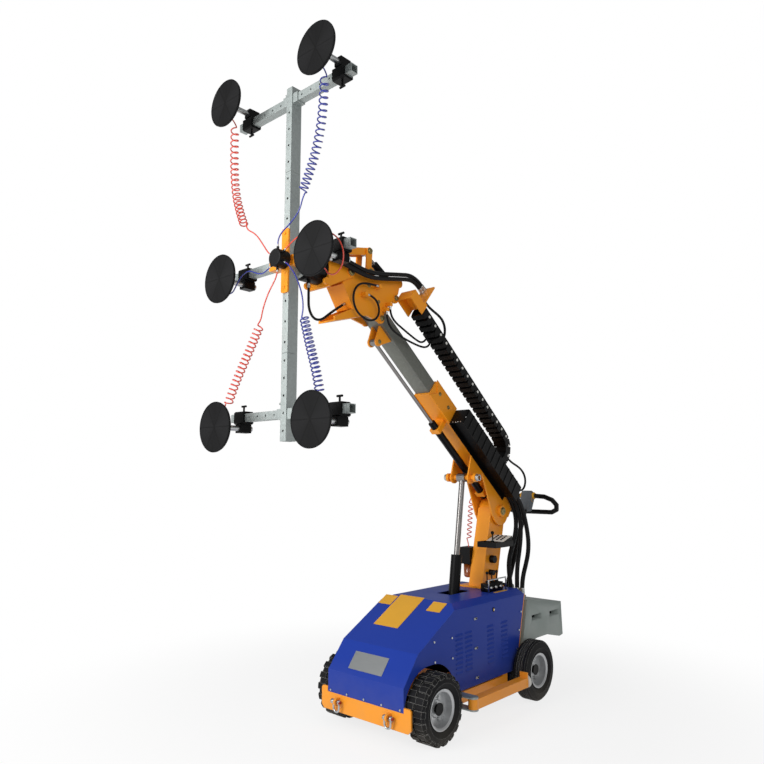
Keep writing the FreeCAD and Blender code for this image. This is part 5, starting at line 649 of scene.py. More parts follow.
def material(name):
    """The finished material of that name, made the first time that it is asked for."""
    colours = settings("colours")
    makers = {
        # A powder coat's third value is the colour of its painted edge highlight.
        "orange": lambda: powder_coat("orange_powder_coat", colours.orange, "FFC27A", 0.3),
        "blue": lambda: powder_coat("blue_powder_coat", colours.blue, "6F86D8", 0.12),
        "grey": cast_paint,
        "black": satin_black,
        "zinc": lambda: galvanised("galvanised_steel", colours.zinc),
        "steel": lambda: galvanised("weathered_zinc", colours.steel),
        "wheel": wheel_paint,
        "bright": lambda: plated("bright_zinc_plate", colours.bright, 0.29, 0.4),
        "chrome": lambda: plated("hard_chrome", colours.chrome, 0.29, 0.34, 0),
        "olive": lambda: plated("yellow_zinc_plate", colours.olive, 0.3, 0.45),
        "brass": lambda: plated("turned_brass", colours.brass, 0.29, 0.38),
        "tyre": tyre_rubber,
        "pad": pad_rubber,
        "plastic": lambda: moulded("black_moulded_plastic", colours.plastic, 0.45),
        "housing": lambda: moulded("grey_moulded_shell", colours.housing, 0.5),
        "nylon": lambda: moulded("white_nylon", colours.nylon, 0.4),
        "trim": lambda: moulded("yellow_moulded_trim", colours.plate, 0.45),
        "pin": lambda: powder_coat("red_pin_paint", colours.pin, "D8868A", 0.3),
        "tube_red": lambda: polyurethane("red_polyurethane", colours.red),
        "tube_blue": lambda: polyurethane("blue_polyurethane", colours.tube_blue),
        "sleeve": woven_sleeve,
        "plate": plate_film,
        "aluminium": brushed_plate,
        "amber": amber_bowl,
    }
    if name not in MATERIALS:
        MATERIALS[name] = makers[name]()
    return MATERIALS[name]


# Meshes
def linked(name, data):
    """A new object in the scene."""
    piece = bpy.data.objects.new(name, data)
    bpy.context.scene.collection.objects.link(piece)
    return piece


def meshed(name, shape, materials):
    """A piece from a bmesh, with its normals turned outwards and its materials in order."""
    bmesh.ops.recalc_face_normals(shape, faces=shape.faces)
    mesh = bpy.data.meshes.new(name)
    shape.to_mesh(mesh)
    shape.free()
    for key in materials:
        mesh.materials.append(material(key))
    return linked(name, mesh)


def copied(node):
    """A merged copy of a CAD node's mesh."""
    shape = bmesh.new()
    shape.from_mesh(NODES[node].data)
    bmesh.ops.remove_doubles(shape, verts=shape.verts, dist=0.01 * MM)
    return shape


def islands(shape):
    """The separate solids of a merged mesh, as lists of faces."""
    left, found = set(shape.faces), []
    while left:
        group, border = [], [left.pop()]
        while border:
            face = border.pop()
            group.append(face)
            near = {f for v in face.verts for f in v.link_faces} & left
            left -= near
            border.extend(near)
        found.append(group)
    return found


def middle(faces):
    """The middle of the box round some faces."""
    points = [v.co for f in faces for v in f.verts]
    low, high = (Vector([pick(p[i] for p in points) for i in range(3)]) for pick in (min, max))
    return (low + high) / 2


def shade_by_angle(piece):
    """Smooth shading that keeps the hard edges."""
    piece.data.shade_smooth()
    piece.data.set_sharp_from_angle(angle=math.radians(32))


def fitted(name, shape, materials, body, node=None):
    """A rigid piece from a bmesh, on its body, in place of a CAD node if one is given."""
    piece = meshed(name, shape, materials)
    shade_by_angle(piece)
    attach(piece, body)
    if node:
        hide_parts(node)


def dressed(node, body, materials, rule):
    """A copy of a CAD node, with a rule on a face's and its solid's middle for the second material."""
    shape = copied(node)
    for group in islands(shape):
        centre = middle(group)
        for face in group:
            face.material_index = int(rule(face.calc_center_median(), centre))
    fitted(node + "_dressed", shape, materials, body, node)


def lathed(shape, profile, frame_at, sides, finish_index=0):
    """Turns points along and out from a frame's Z axis, in millimetres, with turn and radius on the map."""
    uv = shape.loops.layers.uv.verify()
    profile = [(along * MM, out * MM) for along, out in profile]
    rings = []
    for along, out in profile:
        angles = [2 * math.pi * i / sides for i in range(sides if out > 0 else 1)]
        rings.append([shape.verts.new(frame_at @ Vector((out * math.cos(a), out * math.sin(a), along)))
                      for a in angles])
    widest = max(out for _, out in profile)
    for (low, low_at), (high, high_at) in zip(zip(rings[:-1], profile[:-1]), zip(rings[1:], profile[1:])):
        for i in range(sides):
            j = (i + 1) % sides
            corners = [(low, i, low_at), (low, j, low_at), (high, j, high_at), (high, i, high_at)]
            used, maps = [], []
            for circle, k, at in corners:
                vert = circle[k % len(circle)]
                if vert not in used:
                    used.append(vert)
                    turn = (i + 1 if k == j else i) / sides
                    maps.append((turn, at[1] / widest))
            if len(used) < 3:
                continue
            face = shape.faces.new(used)
            face.smooth = True
            face.material_index = finish_index
            for loop, spot in zip(face.loops, maps):
                loop[uv].uv = spot


def rounded_box(shape, frame_at, size, radius, segments=3, finish_index=0):
    """A box with rounded edges about a frame's origin, in millimetres, with a finish for the rounding."""
    across = Matrix.Diagonal((*(side * MM for side in size), 1))
    cube = bmesh.ops.create_cube(shape, size=1, matrix=frame_at @ across)
    edges = dict.fromkeys(edge for vert in cube["verts"] for edge in vert.link_edges)
    made = bmesh.ops.bevel(shape, geom=list(edges), offset=radius * MM, segments=segments, profile=0.5,
                           affect="EDGES", clamp_overlap=True)
    for face in made["faces"]:
        face.material_index = finish_index


def pointing(where, direction):
    """The frame at a place whose Z axis points that way."""
    turn = Vector(direction).to_track_quat("Z", "Y").to_matrix().to_4x4()
    return Matrix.Translation(where) @ turn


# Curves
def spline_curve(name, points, radius, fine):
    """A tube on a smooth spline that runs close by its points."""
    curve = bpy.data.curves.new(name, "CURVE")
    curve.dimensions = "3D"
    curve.bevel_depth, curve.bevel_resolution, curve.resolution_u = radius, 3, fine
    curve.use_fill_caps = True
    spline = curve.splines.new("NURBS")
    spline.points.add(len(points) - 1)
    for control, point in zip(spline.points, points):
        control.co = (*point, 1)
    spline.order_u = 3
    spline.use_endpoint_u = True
    return linked(name, curve)


def line_of(points, fine):
    """The points down the middle of a route's spline."""
    helper = spline_curve("route_line", points, 0, fine)
    mesh = bpy.data.meshes.new_from_object(helper.evaluated_get(bpy.context.evaluated_depsgraph_get()))
    line = [v.co.copy() for v in mesh.vertices]
    bpy.data.objects.remove(helper)
    bpy.data.meshes.remove(mesh)
    return line


def at_share(line, share):
    """The point and direction at a share of a line's length."""
    runs = [(b - a).length for a, b in zip(line[:-1], line[1:])]
    left = share * sum(runs)
    for a, b, run in zip(line[:-1], line[1:], runs):
        if left <= run:
            return a.lerp(b, left / run), (b - a).normalized()
        left -= run
    return line[-1], (line[-1] - line[-2]).normalized()


def curls(axis_points, radius, turns, crowding):
    """Helix points round an axis route, whose turns crowd together towards its end."""
    line = line_of(axis_points, 12)
    per_turn = 12
    points = []
    for i in range(turns * per_turn + 1):
        share = i / (turns * per_turn)
        share = share * (1 + crowding) - crowding * share * share
        spot, along = at_share(line, share)
        side = along.cross(Vector((0, 1, 0))).normalized()
        front = along.cross(side)
        turn = 2 * math.pi * i / per_turn
        points.append(spot + (side * math.cos(turn) + front * math.sin(turn)) * radius)
    return points


def tube_length(piece):
    """The length of a curve piece, in metres."""
    return round(piece.data.splines[0].calc_length(), 3)


def tube_mesh(piece):
    """A curve piece as a mesh piece, and the points that it follows."""
    points = [Vector(p.co[:3]) for p in piece.data.splines[0].points]
    line = line_of(points, piece.data.resolution_u)
    mesh = bpy.data.meshes.new_from_object(piece.evaluated_get(bpy.context.evaluated_depsgraph_get()))
    name = piece.name
    bpy.data.objects.remove(piece)
    mesh.shade_smooth()
    return linked(name, mesh), line


def cord_mesh(name, points, diameter, fine, finish_key):
    """A cord as a mesh piece, the points that it follows and its length."""
    curve = spline_curve(name, points, diameter / 2, fine)
    curve.data.materials.append(material(finish_key))
    far = tube_length(curve)
    return (*tube_mesh(curve), far)


# Geometry Nodes
def tree_with(name, inputs):
    """A geometry tree with named inputs, its group input and its group output."""
    tree = bpy.data.node_groups.new(name, "GeometryNodeTree")
    tree.interface.new_socket("Geometry", in_out="INPUT", socket_type="NodeSocketGeometry")
    for label, kind in inputs:
        tree.interface.new_socket(label, in_out="INPUT", socket_type="NodeSocket" + kind)
    tree.interface.new_socket("Geometry", in_out="OUTPUT", socket_type="NodeSocketGeometry")
    return tree, tree.nodes.new("NodeGroupInput"), tree.nodes.new("NodeGroupOutput")


def bolt_circle_tree():
    """Hexagon heads round a circle, square to its plane."""
    tree, given, result = tree_with("bolt_circle", (
        ("Count", "Int"), ("Circle Radius", "Float"), ("Head Radius", "Float"), ("Head Height", "Float"),
        ("Finish", "Material")))
    circle = add(tree, "GeometryNodeMeshCircle", {"Vertices": given.outputs["Count"],
                                                  "Radius": given.outputs["Circle Radius"]})
    head = add(tree, "GeometryNodeMeshCylinder", {"Vertices": 6, "Radius": given.outputs["Head Radius"],
                                                  "Depth": given.outputs["Head Height"]})
    tip_radius = add(tree, "Math", {0: given.outputs["Head Radius"], 1: 0.5}, operation="MULTIPLY")
    tip_height = add(tree, "Math", {0: given.outputs["Head Height"], 1: 1.7}, operation="MULTIPLY")
    tip = add(tree, "GeometryNodeMeshCylinder", {"Vertices": 12, "Radius": tip_radius.outputs[0],
                                                 "Depth": tip_height.outputs[0]})
    bolt = add(tree, "GeometryNodeJoinGeometry")
    tree.links.new(head.outputs["Mesh"], bolt.inputs[0])
    tree.links.new(tip.outputs["Mesh"], bolt.inputs[0])
    spread = add(tree, "GeometryNodeInstanceOnPoints", {"Points": circle.outputs["Mesh"],
                                                        "Instance": bolt.outputs[0]})
    real = add(tree, "GeometryNodeRealizeInstances", {"Geometry": spread.outputs["Instances"]})
    coated = add(tree, "GeometryNodeSetMaterial", {"Geometry": real.outputs["Geometry"],
                                                   "Material": given.outputs["Finish"]})
    tree.links.new(coated.outputs["Geometry"], result.inputs["Geometry"])
    return tree


def pin_row_tree():
    """Round pin heads at even steps along a curve, each facing the side."""
    tree, given, result = tree_with("pin_row", (
        ("Count", "Int"), ("Head Radius", "Float"), ("Head Height", "Float"), ("Finish", "Material")))
    spots = add(tree, "GeometryNodeCurveToPoints", {"Curve": given.outputs["Geometry"],
                                                    "Count": given.outputs["Count"]}, mode="COUNT")
    head = add(tree, "GeometryNodeMeshCylinder", {"Vertices": 12, "Radius": given.outputs["Head Radius"],
                                                  "Depth": given.outputs["Head Height"]})
    spread = add(tree, "GeometryNodeInstanceOnPoints", {
        "Points": spots.outputs["Points"], "Instance": head.outputs["Mesh"],
        "Rotation": (0, math.radians(90), 0)})
    real = add(tree, "GeometryNodeRealizeInstances", {"Geometry": spread.outputs["Instances"]})
    coated = add(tree, "GeometryNodeSetMaterial", {"Geometry": real.outputs["Geometry"],
                                                   "Material": given.outputs["Finish"]})
    tree.links.new(coated.outputs["Geometry"], result.inputs["Geometry"])
    return tree


def grown(name, tree, base, values, frame_at=None):
    """The mesh that a geometry tree makes on a base, put in its place, as a plain piece."""
    helper = linked(name + "_base", base)
    modifier = helper.modifiers.new("grow", "NODES")
    modifier.node_group = tree
    ids = {item.name: item.identifier for item in tree.interface.items_tree if item.in_out == "INPUT"}
    for label, value in values.items():
        modifier[ids[label]] = value
    bpy.context.view_layer.update()
    mesh = bpy.data.meshes.new_from_object(helper.evaluated_get(bpy.context.evaluated_depsgraph_get()))
    bpy.data.objects.remove(helper)
    if frame_at is not None:
        mesh.transform(frame_at)
    return linked(name, mesh)


def outermost(nodes, spot, way):
    """The farthest out that any of the nodes reaches at a spot's height and length, on one side."""
    depsgraph = bpy.context.evaluated_depsgraph_get()
    found = []
    for node in nodes:
        tree = BVHTree.FromObject(NODES[node], depsgraph)
        hit = tree.ray_cast(Vector((way * CLEAR_X * MM, spot.y, spot.z)), Vector((-way, 0, 0)))[0]
        if hit is not None and hit.x * way > 0:
            found.append(hit.x * way)
    if not found:
        raise RuntimeError("no surface of %s beside that spot" % ", ".join(nodes))
    return Vector((way * max(found), spot.y, spot.z))


def surface_along(node, start_at, direction):
    """Where a line first meets a CAD node."""
    depsgraph = bpy.context.evaluated_depsgraph_get()
    spot = BVHTree.FromObject(NODES[node], depsgraph).ray_cast(start_at, Vector(direction))[0]
    if spot is None:
        raise RuntimeError("no surface of %s on that line" % node)
    return spot


# Operators
class LifterStep(bpy.types.Operator):
    """A step in dressing the lifter"""

    bl_idname = "lifter.step"
    bl_label = "Step"

    def execute(self, context):
        self.make(context)
        return {"FINISHED"}


class LifterFinishes(LifterStep):
    """Give every CAD node its finish"""

    bl_idname = "lifter.finishes"
    bl_label = "Finishes"

    def make(self, context):
        kinds = {"orange_paint": "orange", "blue_paint": "blue", "grey_paint": "grey",
                 "black_paint": "black", "silver_paint": "wheel", "galvanised_steel": "zinc",
                 "bright_steel": "bright", "chrome_rod": "chrome", "tyre_rubber": "tyre",
                 "pad_rubber": "pad", "hose_rubber": "sleeve", "black_plastic": "plastic",
                 "red_tube": "tube_red", "blue_tube": "tube_blue", "yellow_plate": "plate",
                 "amber_bowl": "amber", "white_nylon": "nylon"}
        for subpart in frame["record"]["subparts"]:
            slots = NODES[subpart["node"]].data.materials
            slots.clear()
            kind = "steel" if subpart["node"] == "inner_boom" else kinds[subpart["material_slot"]]
            slots.append(material(kind))


class LifterTwoTone(LifterStep):
    """Give the nodes of two finishes their second one, and the counterweight's lifting slots their painted shade
    """

    bl_idname = "lifter.two_tone"
    bl_label = "Two-tone fittings"

    def make(self, context):
        for side in ("right", "left"):
            pin = Vector(JOINTS["shackle_%s_swing" % side]["pos_m"])
            dressed("shackle_" + side, "shackle_%s_bow" % side, ("bright", "pin"),
                    lambda spot, centre: (spot - pin).yz.length < SHACKLE_PIN_R * MM)
        bowl_top = place(0, 0, BOWL_TOP_Z).z
        dressed("vacuum_filter", "chassis", ("plastic", "amber"),
                lambda spot, centre: spot.z < bowl_top)
        nose = place(0, NOSE_PLATE_Y, 0).y
        dressed("blank_plates", "chassis", ("plate", "aluminium"),
                lambda spot, centre: centre.y < nose)
        valves = place(*VALVE_PLASTIC, 0)
        dressed("valve_bank", "chassis", ("bright", "plastic"),
                lambda spot, centre: spot.x < valves.x and spot.y > valves.y)
        latch = place(0, STABILISER_LATCH_Y, 0).y
        dressed("stabiliser_mounts", "chassis", ("zinc", "black"),
                lambda spot, centre: centre.y > latch)
        # Painted shade: the counterweight's lifting slots are coloured black on their walls and round their edges.
        slots = [opening["box_m"] for opening in frame["record"]["physics"]["openings"]
                 if opening["name"].startswith("lifting_slot")]
        dressed("counterweight", "chassis", ("grey", "black"),
                lambda spot, centre: any(self.inside(spot, *box) for box in slots))
        seam = place(0, 0, TILLER_SEAM_Z).z
        dressed("tiller_arm", "tiller", ("plastic", "housing"),
                lambda spot, centre: spot.z > seam and abs(spot.x) < TILLER_CORE_X * MM)

    def inside(self, spot, low, high):
        """Whether a spot lies in a slot's box or on its walls, but not on the outer face."""
        edge = SLOT_EDGE * MM
        near, far = sorted((abs(low[0]), abs(high[0])))
        return (all(a - edge < v < b + edge for a, v, b in zip(low[1:], spot.yz, high[1:]))
                and near - SLOT_DEPTH * MM < abs(spot.x) < far - edge / 4)


class LifterVacuumTubes(LifterStep):
    """Curl the vacuum tubes from the pads to the manifold"""

    bl_idname = "lifter.vacuum_tubes"
    bl_label = "Vacuum tubes"

    def make(self, context):
        sizes = settings("sizes")
        for name, (colour, pad, port, outward, turns, axis, run) in COILS.items():
            pad_end, port_end = place(*pad), place(*port)
            lead = pad_end + Vector((0, TUBE_LEAD * MM, 0))
            crowding = TOP_CROWDING if name.endswith("top") else LOW_CROWDING
            points = [pad_end, lead] + curls([place(*p) for p in axis], sizes.coil, turns, crowding)
            points += [place(*p) for p in run] + [port_end + Vector(outward) * TUBE_LEAD * MM, port_end]
            self.hang(name, points, COIL_STEPS, colour)
        for name, (colour, route) in LINKS.items():
            self.hang(name, [place(*p) for p in route], ROUTE_STEPS, colour)

    def hang(self, name, points, fine, colour):
        sizes = settings("sizes")
        piece = spline_curve(name, points, sizes.tube / 2, fine)
        piece.data.materials.append(material("tube_" + colour))
        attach(piece, "vacuum_frame")
        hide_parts(colour + "_hoses")


class LifterMastCoil(LifterStep):
    """Curl the tube beside the mast"""

    bl_idname = "lifter.mast_coil"
    bl_label = "Mast coil"

    def make(self, context):
        sizes = settings("sizes")
        low = place(*MAST_COIL_LOW)
        axis = [place(*p) for p in MAST_COIL_AXIS]
        points = [low, low + Vector((0, 0, TUBE_LEAD * MM))]
        points += curls(axis, sizes.mast_coil, MAST_COIL_TURNS, 0.0)
        points += [place(*p) for p in MAST_COIL_HIGH]
        piece, line, far = cord_mesh("mast_coil_tube", points, sizes.tube, COIL_STEPS, "tube_red")
        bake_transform(piece)
        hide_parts("mast_coil")


class LifterHydraulicHoses(LifterStep):
    """Lay the hydraulic hoses behind the mast and over the boom head"""

    bl_idname = "lifter.hydraulic_hoses"
    bl_label = "Hydraulic hoses"

    def make(self, context):
        sizes = settings("sizes")
        for i, (x, route) in enumerate(TAIL_ROUTES.items()):
            points = [place(x, *p) for p in route] + [boom_place(x, *p) for p in TAIL_RUN_IN]
            self.lay("tail_hose_%d" % (i + 1), points, sizes.hose, "tail_hoses", ("chassis", "boom"),
                     points[2], points[-2])
        for name, (on_boom, ahead) in BUNDLES.items():
            points = [boom_place(BUNDLE_X, *p) for p in on_boom] + [place(BUNDLE_X, *p) for p in ahead]
            self.lay(name, points, sizes.bundle, "head_hoses", ("boom_inner", "tilt_head"),
                     points[-6], points[-2])
        self.lay("chain_hose", [boom_place(CHAIN_HOSE_X, *p) for p in CHAIN_HOSE], sizes.chain_hose,
                 "head_hoses", ("boom_inner",))
        self.lay("plate_loop", [place(PLATE_LOOP_X, *p) for p in PLATE_LOOP], sizes.loop_hose,
                 "head_hoses", ("boom_inner",))
        for name, (below, at_chain) in HANGING_HOSES.items():
            points = [place(PLATE_LOOP_X, *p) for p in below]
            points += [boom_place(PLATE_LOOP_X, *p) for p in at_chain]
            self.lay(name, points, sizes.loop_hose, "head_hoses", ("boom_inner",))
        self.lay("bend_hose", [boom_place(BEND_HOSE_X, *p) for p in BEND_HOSE], sizes.small_hose,
                 "tail_hoses", ("boom",))
        points = [place(*p) for p in RISER]
        self.lay("riser_hose", points, sizes.small_hose, "head_hoses", ("tilt_head", "boom_inner"),
                 points[1], points[-2])

    def lay(self, name, points, diameter, node, bodies, bend_start=None, bend_end=None):
        piece, line, far = cord_mesh(name, points, diameter, ROUTE_STEPS, "sleeve")
        if len(bodies) > 1:
            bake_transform(piece)
        else:
            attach(piece, bodies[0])
        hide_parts(node)


class LifterPads(LifterStep):
    """Turn the six suction pads with their ribbed faces and ports"""

    bl_idname = "lifter.pads"
    bl_label = "Suction pads"

    def make(self, context):
        radius = settings("sizes").pad / MM
        back = PAD_DEPTH + PAD_HUB_DEPTH
        profile = [(PAD_LIP, 0), (PAD_LIP, 20), (PAD_LIP, radius * 0.5), (PAD_LIP, radius - 9),
                   (0, radius - 6), (0, radius - 2), (PAD_WALL * 0.3, radius), (PAD_WALL * 1.2, radius - 1),
                   (PAD_WALL * 2, radius - PAD_WALL / 2), (PAD_WALL * 2.4, radius * 0.8),
                   (PAD_DEPTH - PAD_WALL, radius / 2), (PAD_DEPTH - 2, PAD_HUB_R + 6),
                   (PAD_DEPTH, PAD_HUB_R), (back - 2, PAD_HUB_R), (back, PAD_HUB_R - 2), (back, 0)]
        shape = bmesh.new()
        for row_z, port_side in zip(PAD_ROWS_Z, PAD_PORT_SIDES):
            for x in (-PAD_X, PAD_X):
                lathed(shape, profile, pointing(place(x, PAD_FACE_Y, row_z), (0, 1, 0)), 72)
                port = place(x, PAD_FACE_Y + PAD_PORT_BACK, row_z + port_side * PAD_PORT_DROP)
                lathed(shape, PAD_BARB, pointing(port, (0, 1, 0)), 20, 1)
        fitted("suction_pads", shape, ("pad", "bright"), "vacuum_frame", "vacuum_pads")


class LifterWheelNuts(LifterStep):
    """Bolt the nuts round each wheel's hub"""

    bl_idname = "lifter.wheel_nuts"
    bl_label = "Wheel nuts"

    def make(self, context):
        sizes = settings("sizes")
        tree = bolt_circle_tree()
        for end in ("front", "rear"):
            for side, way in (("right", 1), ("left", -1)):
                name = "%s_wheel_%s" % (end, side)
                hub = Vector(JOINTS[name + "_spin"]["pos_m"])
                outside = hub + Vector((way * CLEAR_X * MM, sizes.pitch, 0))
                face_x = surface_along("%s_rim_%s" % (end, side), outside, (-way, 0, 0)).x
                centre = Vector((face_x + way * NUT_OUT * MM, hub.y, hub.z))
                piece = grown(name + "_nuts", tree, bpy.data.meshes.new("nuts"), {
                    "Count": sizes.nuts, "Circle Radius": sizes.pitch, "Head Radius": sizes.nut,
                    "Head Height": NUT_HEIGHT * MM, "Finish": material("bright")},
                    pointing(centre, (way, 0, 0)))
                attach(piece, name)


class LifterEnergyChain(LifterStep):
    """Part the energy chain at its bend, with its cables and its pale pin heads"""

    bl_idname = "lifter.energy_chain"
    bl_label = "Energy chain"

    def make(self, context):
        self.pins()
        self.links()
        self.cables()

    def pins(self):
        line = bpy.data.curves.new("chain_line", "CURVE")
        line.dimensions = "3D"
        spots = [(along, CHAIN_PIN_N) for along in CHAIN_RUN_U]
        spots += self.round_bend(CHAIN_PIN_N - CHAIN_BEND_N, range(6, CHAIN_BEND_TURN + 1, 6))
        spline = line.splines.new("POLY")
        spline.points.add(len(spots) - 1)
        for control, spot in zip(spline.points, spots):
            control.co = (*boom_place(CHAIN_NEAR_X, *spot), 1)
        piece = grown("chain_pins", pin_row_tree(), line, {
            "Count": settings("sizes").links, "Head Radius": CHAIN_PIN_R * MM,
            "Head Height": CHAIN_PIN_HEIGHT * MM, "Finish": material("nylon")})
        self.slide(piece)

    def round_bend(self, reach, turns):
        """Spots at a distance from the middle of the chain's bend, at those turns in degrees."""
        return [(CHAIN_RUN_U[1] - reach * math.sin(angle), CHAIN_BEND_N + reach * math.cos(angle))
                for angle in map(math.radians, turns)]

    def slide(self, piece):
        """Puts an upper-run piece in place, its transform baked into its mesh."""
        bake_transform(piece)

    def links(self):
        foot = boom_place(0, CHAIN_RUN_U[1], CHAIN_BEND_N)
        along = boom_place(0, CHAIN_RUN_U[0], CHAIN_BEND_N) - foot
        up = boom_place(0, CHAIN_RUN_U[1], CHAIN_MID_N) - foot
        for name, running in (("chain_run", True), ("chain_bend", False)):
            shape = copied("energy_chain")
            for group in islands(shape):
                from_foot = middle(group) - foot
                if (from_foot.dot(along) > 0 and from_foot.dot(up) > 0) != running:
                    bmesh.ops.delete(shape, geom=group, context="FACES")
            piece = meshed(name, shape, ("plastic",))
            shade_by_angle(piece)
            if running:
                self.slide(piece)
            else:
                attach(piece, "boom")
            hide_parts("energy_chain")

    def cables(self):
        reach = CHAIN_MID_N - CHAIN_BEND_N
        run = [(along, CHAIN_MID_N) for along in (CHAIN_RUN_U[0], CHAIN_SLIDE_U, CHAIN_RUN_U[1])]
        bend = [(CHAIN_RUN_U[1] + reach, CHAIN_MID_N), *self.round_bend(reach, range(0, 181, 15)),
                (CHAIN_RUN_U[1] + reach, CHAIN_BEND_N - reach), (CHAIN_FIXED_U, CHAIN_BEND_N - reach)]
        for i, x in enumerate(CHAIN_CABLE_X):
            for name, spots in (("chain_cable_run_%d", run), ("chain_cable_bend_%d", bend)):
                points = [boom_place(x, *p) for p in spots]
                piece = cord_mesh(name % (i + 1), points, CHAIN_CABLE * MM, 6, "sleeve")[0]
                if spots is run:
                    self.slide(piece)
                else:
                    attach(piece, "boom")


class LifterHingePins(LifterStep):
    """Head the boom's and the linkage's hinge pins"""

    bl_idname = "lifter.hinge_pins"
    bl_label = "Hinge pins"

    def make(self, context):
        shapes = defaultdict(bmesh.new)
        for joint, nodes, body, radius in PINS:
            self.head(shapes[body], Vector(JOINTS[joint]["pos_m"]), nodes, radius)
        self.head(shapes["tilt_head"], place(0, *LINK_END), ("tilt_link", "tilt_bracket"), LINK_PIN_R)
        for spot in HEAD_PINS:
            self.head(shapes["boom_inner"], place(0, *spot), ("boom_head",), HEAD_PIN_R)
        for body, shape in shapes.items():
            self.keep(body + "_pins", shape, body, "olive")
        shape = bmesh.new()
        lift = Vector(JOINTS["lift_rod_swing"]["pos_m"])
        r = LIFT_PIN_R
        ring = [(0, r * 0.6), (0, r * 1.1), (3, r * 1.1), (3, r), (20, r), (22, r * 0.94), (22, r * 0.66),
                (20, r * 0.6), (0, r * 0.6)]
        for way in (-1, 1):
            lathed(shape, ring, pointing(outermost(("outer_boom",), lift, way), (way, 0, 0)), 32)
        self.keep("lift_pin_rings", shape, "boom", "bright")

    def head(self, shape, spot, nodes, r):
        profile = [(0, 0), (0, r * 1.2), (2, r * 1.2), (2.5, r * 1.15), (2.5, r * 0.92), (9, r * 0.92),
                   (11, r * 0.8), (11, r * 0.3), (7, r * 0.2), (7, 0)]
        for way in (-1, 1):
            lathed(shape, profile, pointing(outermost(nodes, spot, way), (way, 0, 0)), 32)

    def keep(self, name, shape, body, finish_key):
        bmesh.ops.remove_doubles(shape, verts=shape.verts, dist=0.01 * MM)
        fitted(name, shape, (finish_key,), body)


class LifterBoltHeads(LifterStep):
    """Set the bolt heads on the boom's collar and head plates"""

    bl_idname = "lifter.bolt_heads"
    bl_label = "Bolt heads"

    def make(self, context):
        shapes = defaultdict(bmesh.new)
        for node, body, along, up, r in BOLTS:
            washer = [(0, 0), (0, r * 1.35), (1.5, r * 1.35), (2, r * 1.25), (2, 0)]
            head = [(1.8, 0), (1.8, r), (r * 0.62, r), (r * 0.7, r * 0.86), (r * 0.7, 0)]
            for way in (-1, 1):
                at = pointing(outermost((node,), place(0, along, up), way), (way, 0, 0))
                lathed(shapes[body], washer, at, 24)
                lathed(shapes[body], head, at, 6)
        for body, shape in shapes.items():
            fitted(body + "_bolt_heads", shape, ("olive",), body)


class LifterDuctEnd(LifterStep):
    """Close the duct's upper end with its screwed plate"""

    bl_idname = "lifter.duct_end"
    bl_label = "Duct end"

    def make(self, context):
        up, x, width, height = DUCT_END
        lie = Matrix((Vector((1, 0, 0)), BOOM_ALONG, BOOM_UP)).transposed().to_4x4()
        at = Matrix.Translation(boom_place(x, DUCT_END_U + DUCT_END_THICK / 2, up)) @ lie
        shape = bmesh.new()
        rounded_box(shape, at, (width, DUCT_END_THICK, height), DUCT_END_ROUND)
        for side in DUCT_SCREW_X:
            spot = boom_place(side, DUCT_END_U + DUCT_END_THICK, DUCT_SCREW_N)
            lathed(shape, DUCT_SCREW, pointing(spot, BOOM_ALONG), 16, 1)
        fitted("duct_end_plate", shape, ("black", "bright"), "boom")


class LifterShadePlates(LifterStep):
    """Close the sills' rear ends inside the rear wheels with dark plates of painted shade"""

    bl_idname = "lifter.splash_plates"
    bl_label = "Painted shade plates"

    def make(self, context):
        # Black plates where the gap behind each sill shows only shade: painted shade.
        low, high = (Vector(corner) for corner in SHADE_PLATE_BOX)
        shape = bmesh.new()
        for side in (1, -1):
            at = place(*((low + high) / 2))
            at.x *= side
            rounded_box(shape, Matrix.Translation(at), high - low, SHADE_PLATE_ROUND)
        fitted("splash_plates", shape, ("black",), "chassis")


class LifterControlPanel(LifterStep):
    """Slope the switch panel on the control tray"""

    bl_idname = "lifter.control_panel"
    bl_label = "Control panel"

    def make(self, context):
        x0, x1, y0, y1, low, high = TRAY_PANEL
        foot = low - TRAY_PANEL_DEPTH
        side = ((y0, foot), (y0, low), (y1, high), (y1, foot))
        shape = bmesh.new()
        ends = [[shape.verts.new(place(x, y, z)) for y, z in side] for x in (x0, x1)]
        faces = [shape.faces.new(ends[0]), shape.faces.new(reversed(ends[1]))]
        for i in range(4):
            j = (i + 1) % 4
            faces.append(shape.faces.new((ends[0][j], ends[0][i], ends[1][i], ends[1][j])))
        faces[3].material_index = 1
        rise = (high - low) / (y1 - y0)
        up = Vector((0, -rise, 1)).normalized()
        for y in TRAY_BUTTON_Y:
            for x in TRAY_BUTTON_X:
                lathed(shape, TRAY_BUTTON, pointing(place(x, y, low + (y - y0) * rise), up), 16)
        fitted("switch_panel", shape, ("plastic", "nylon"), "chassis")


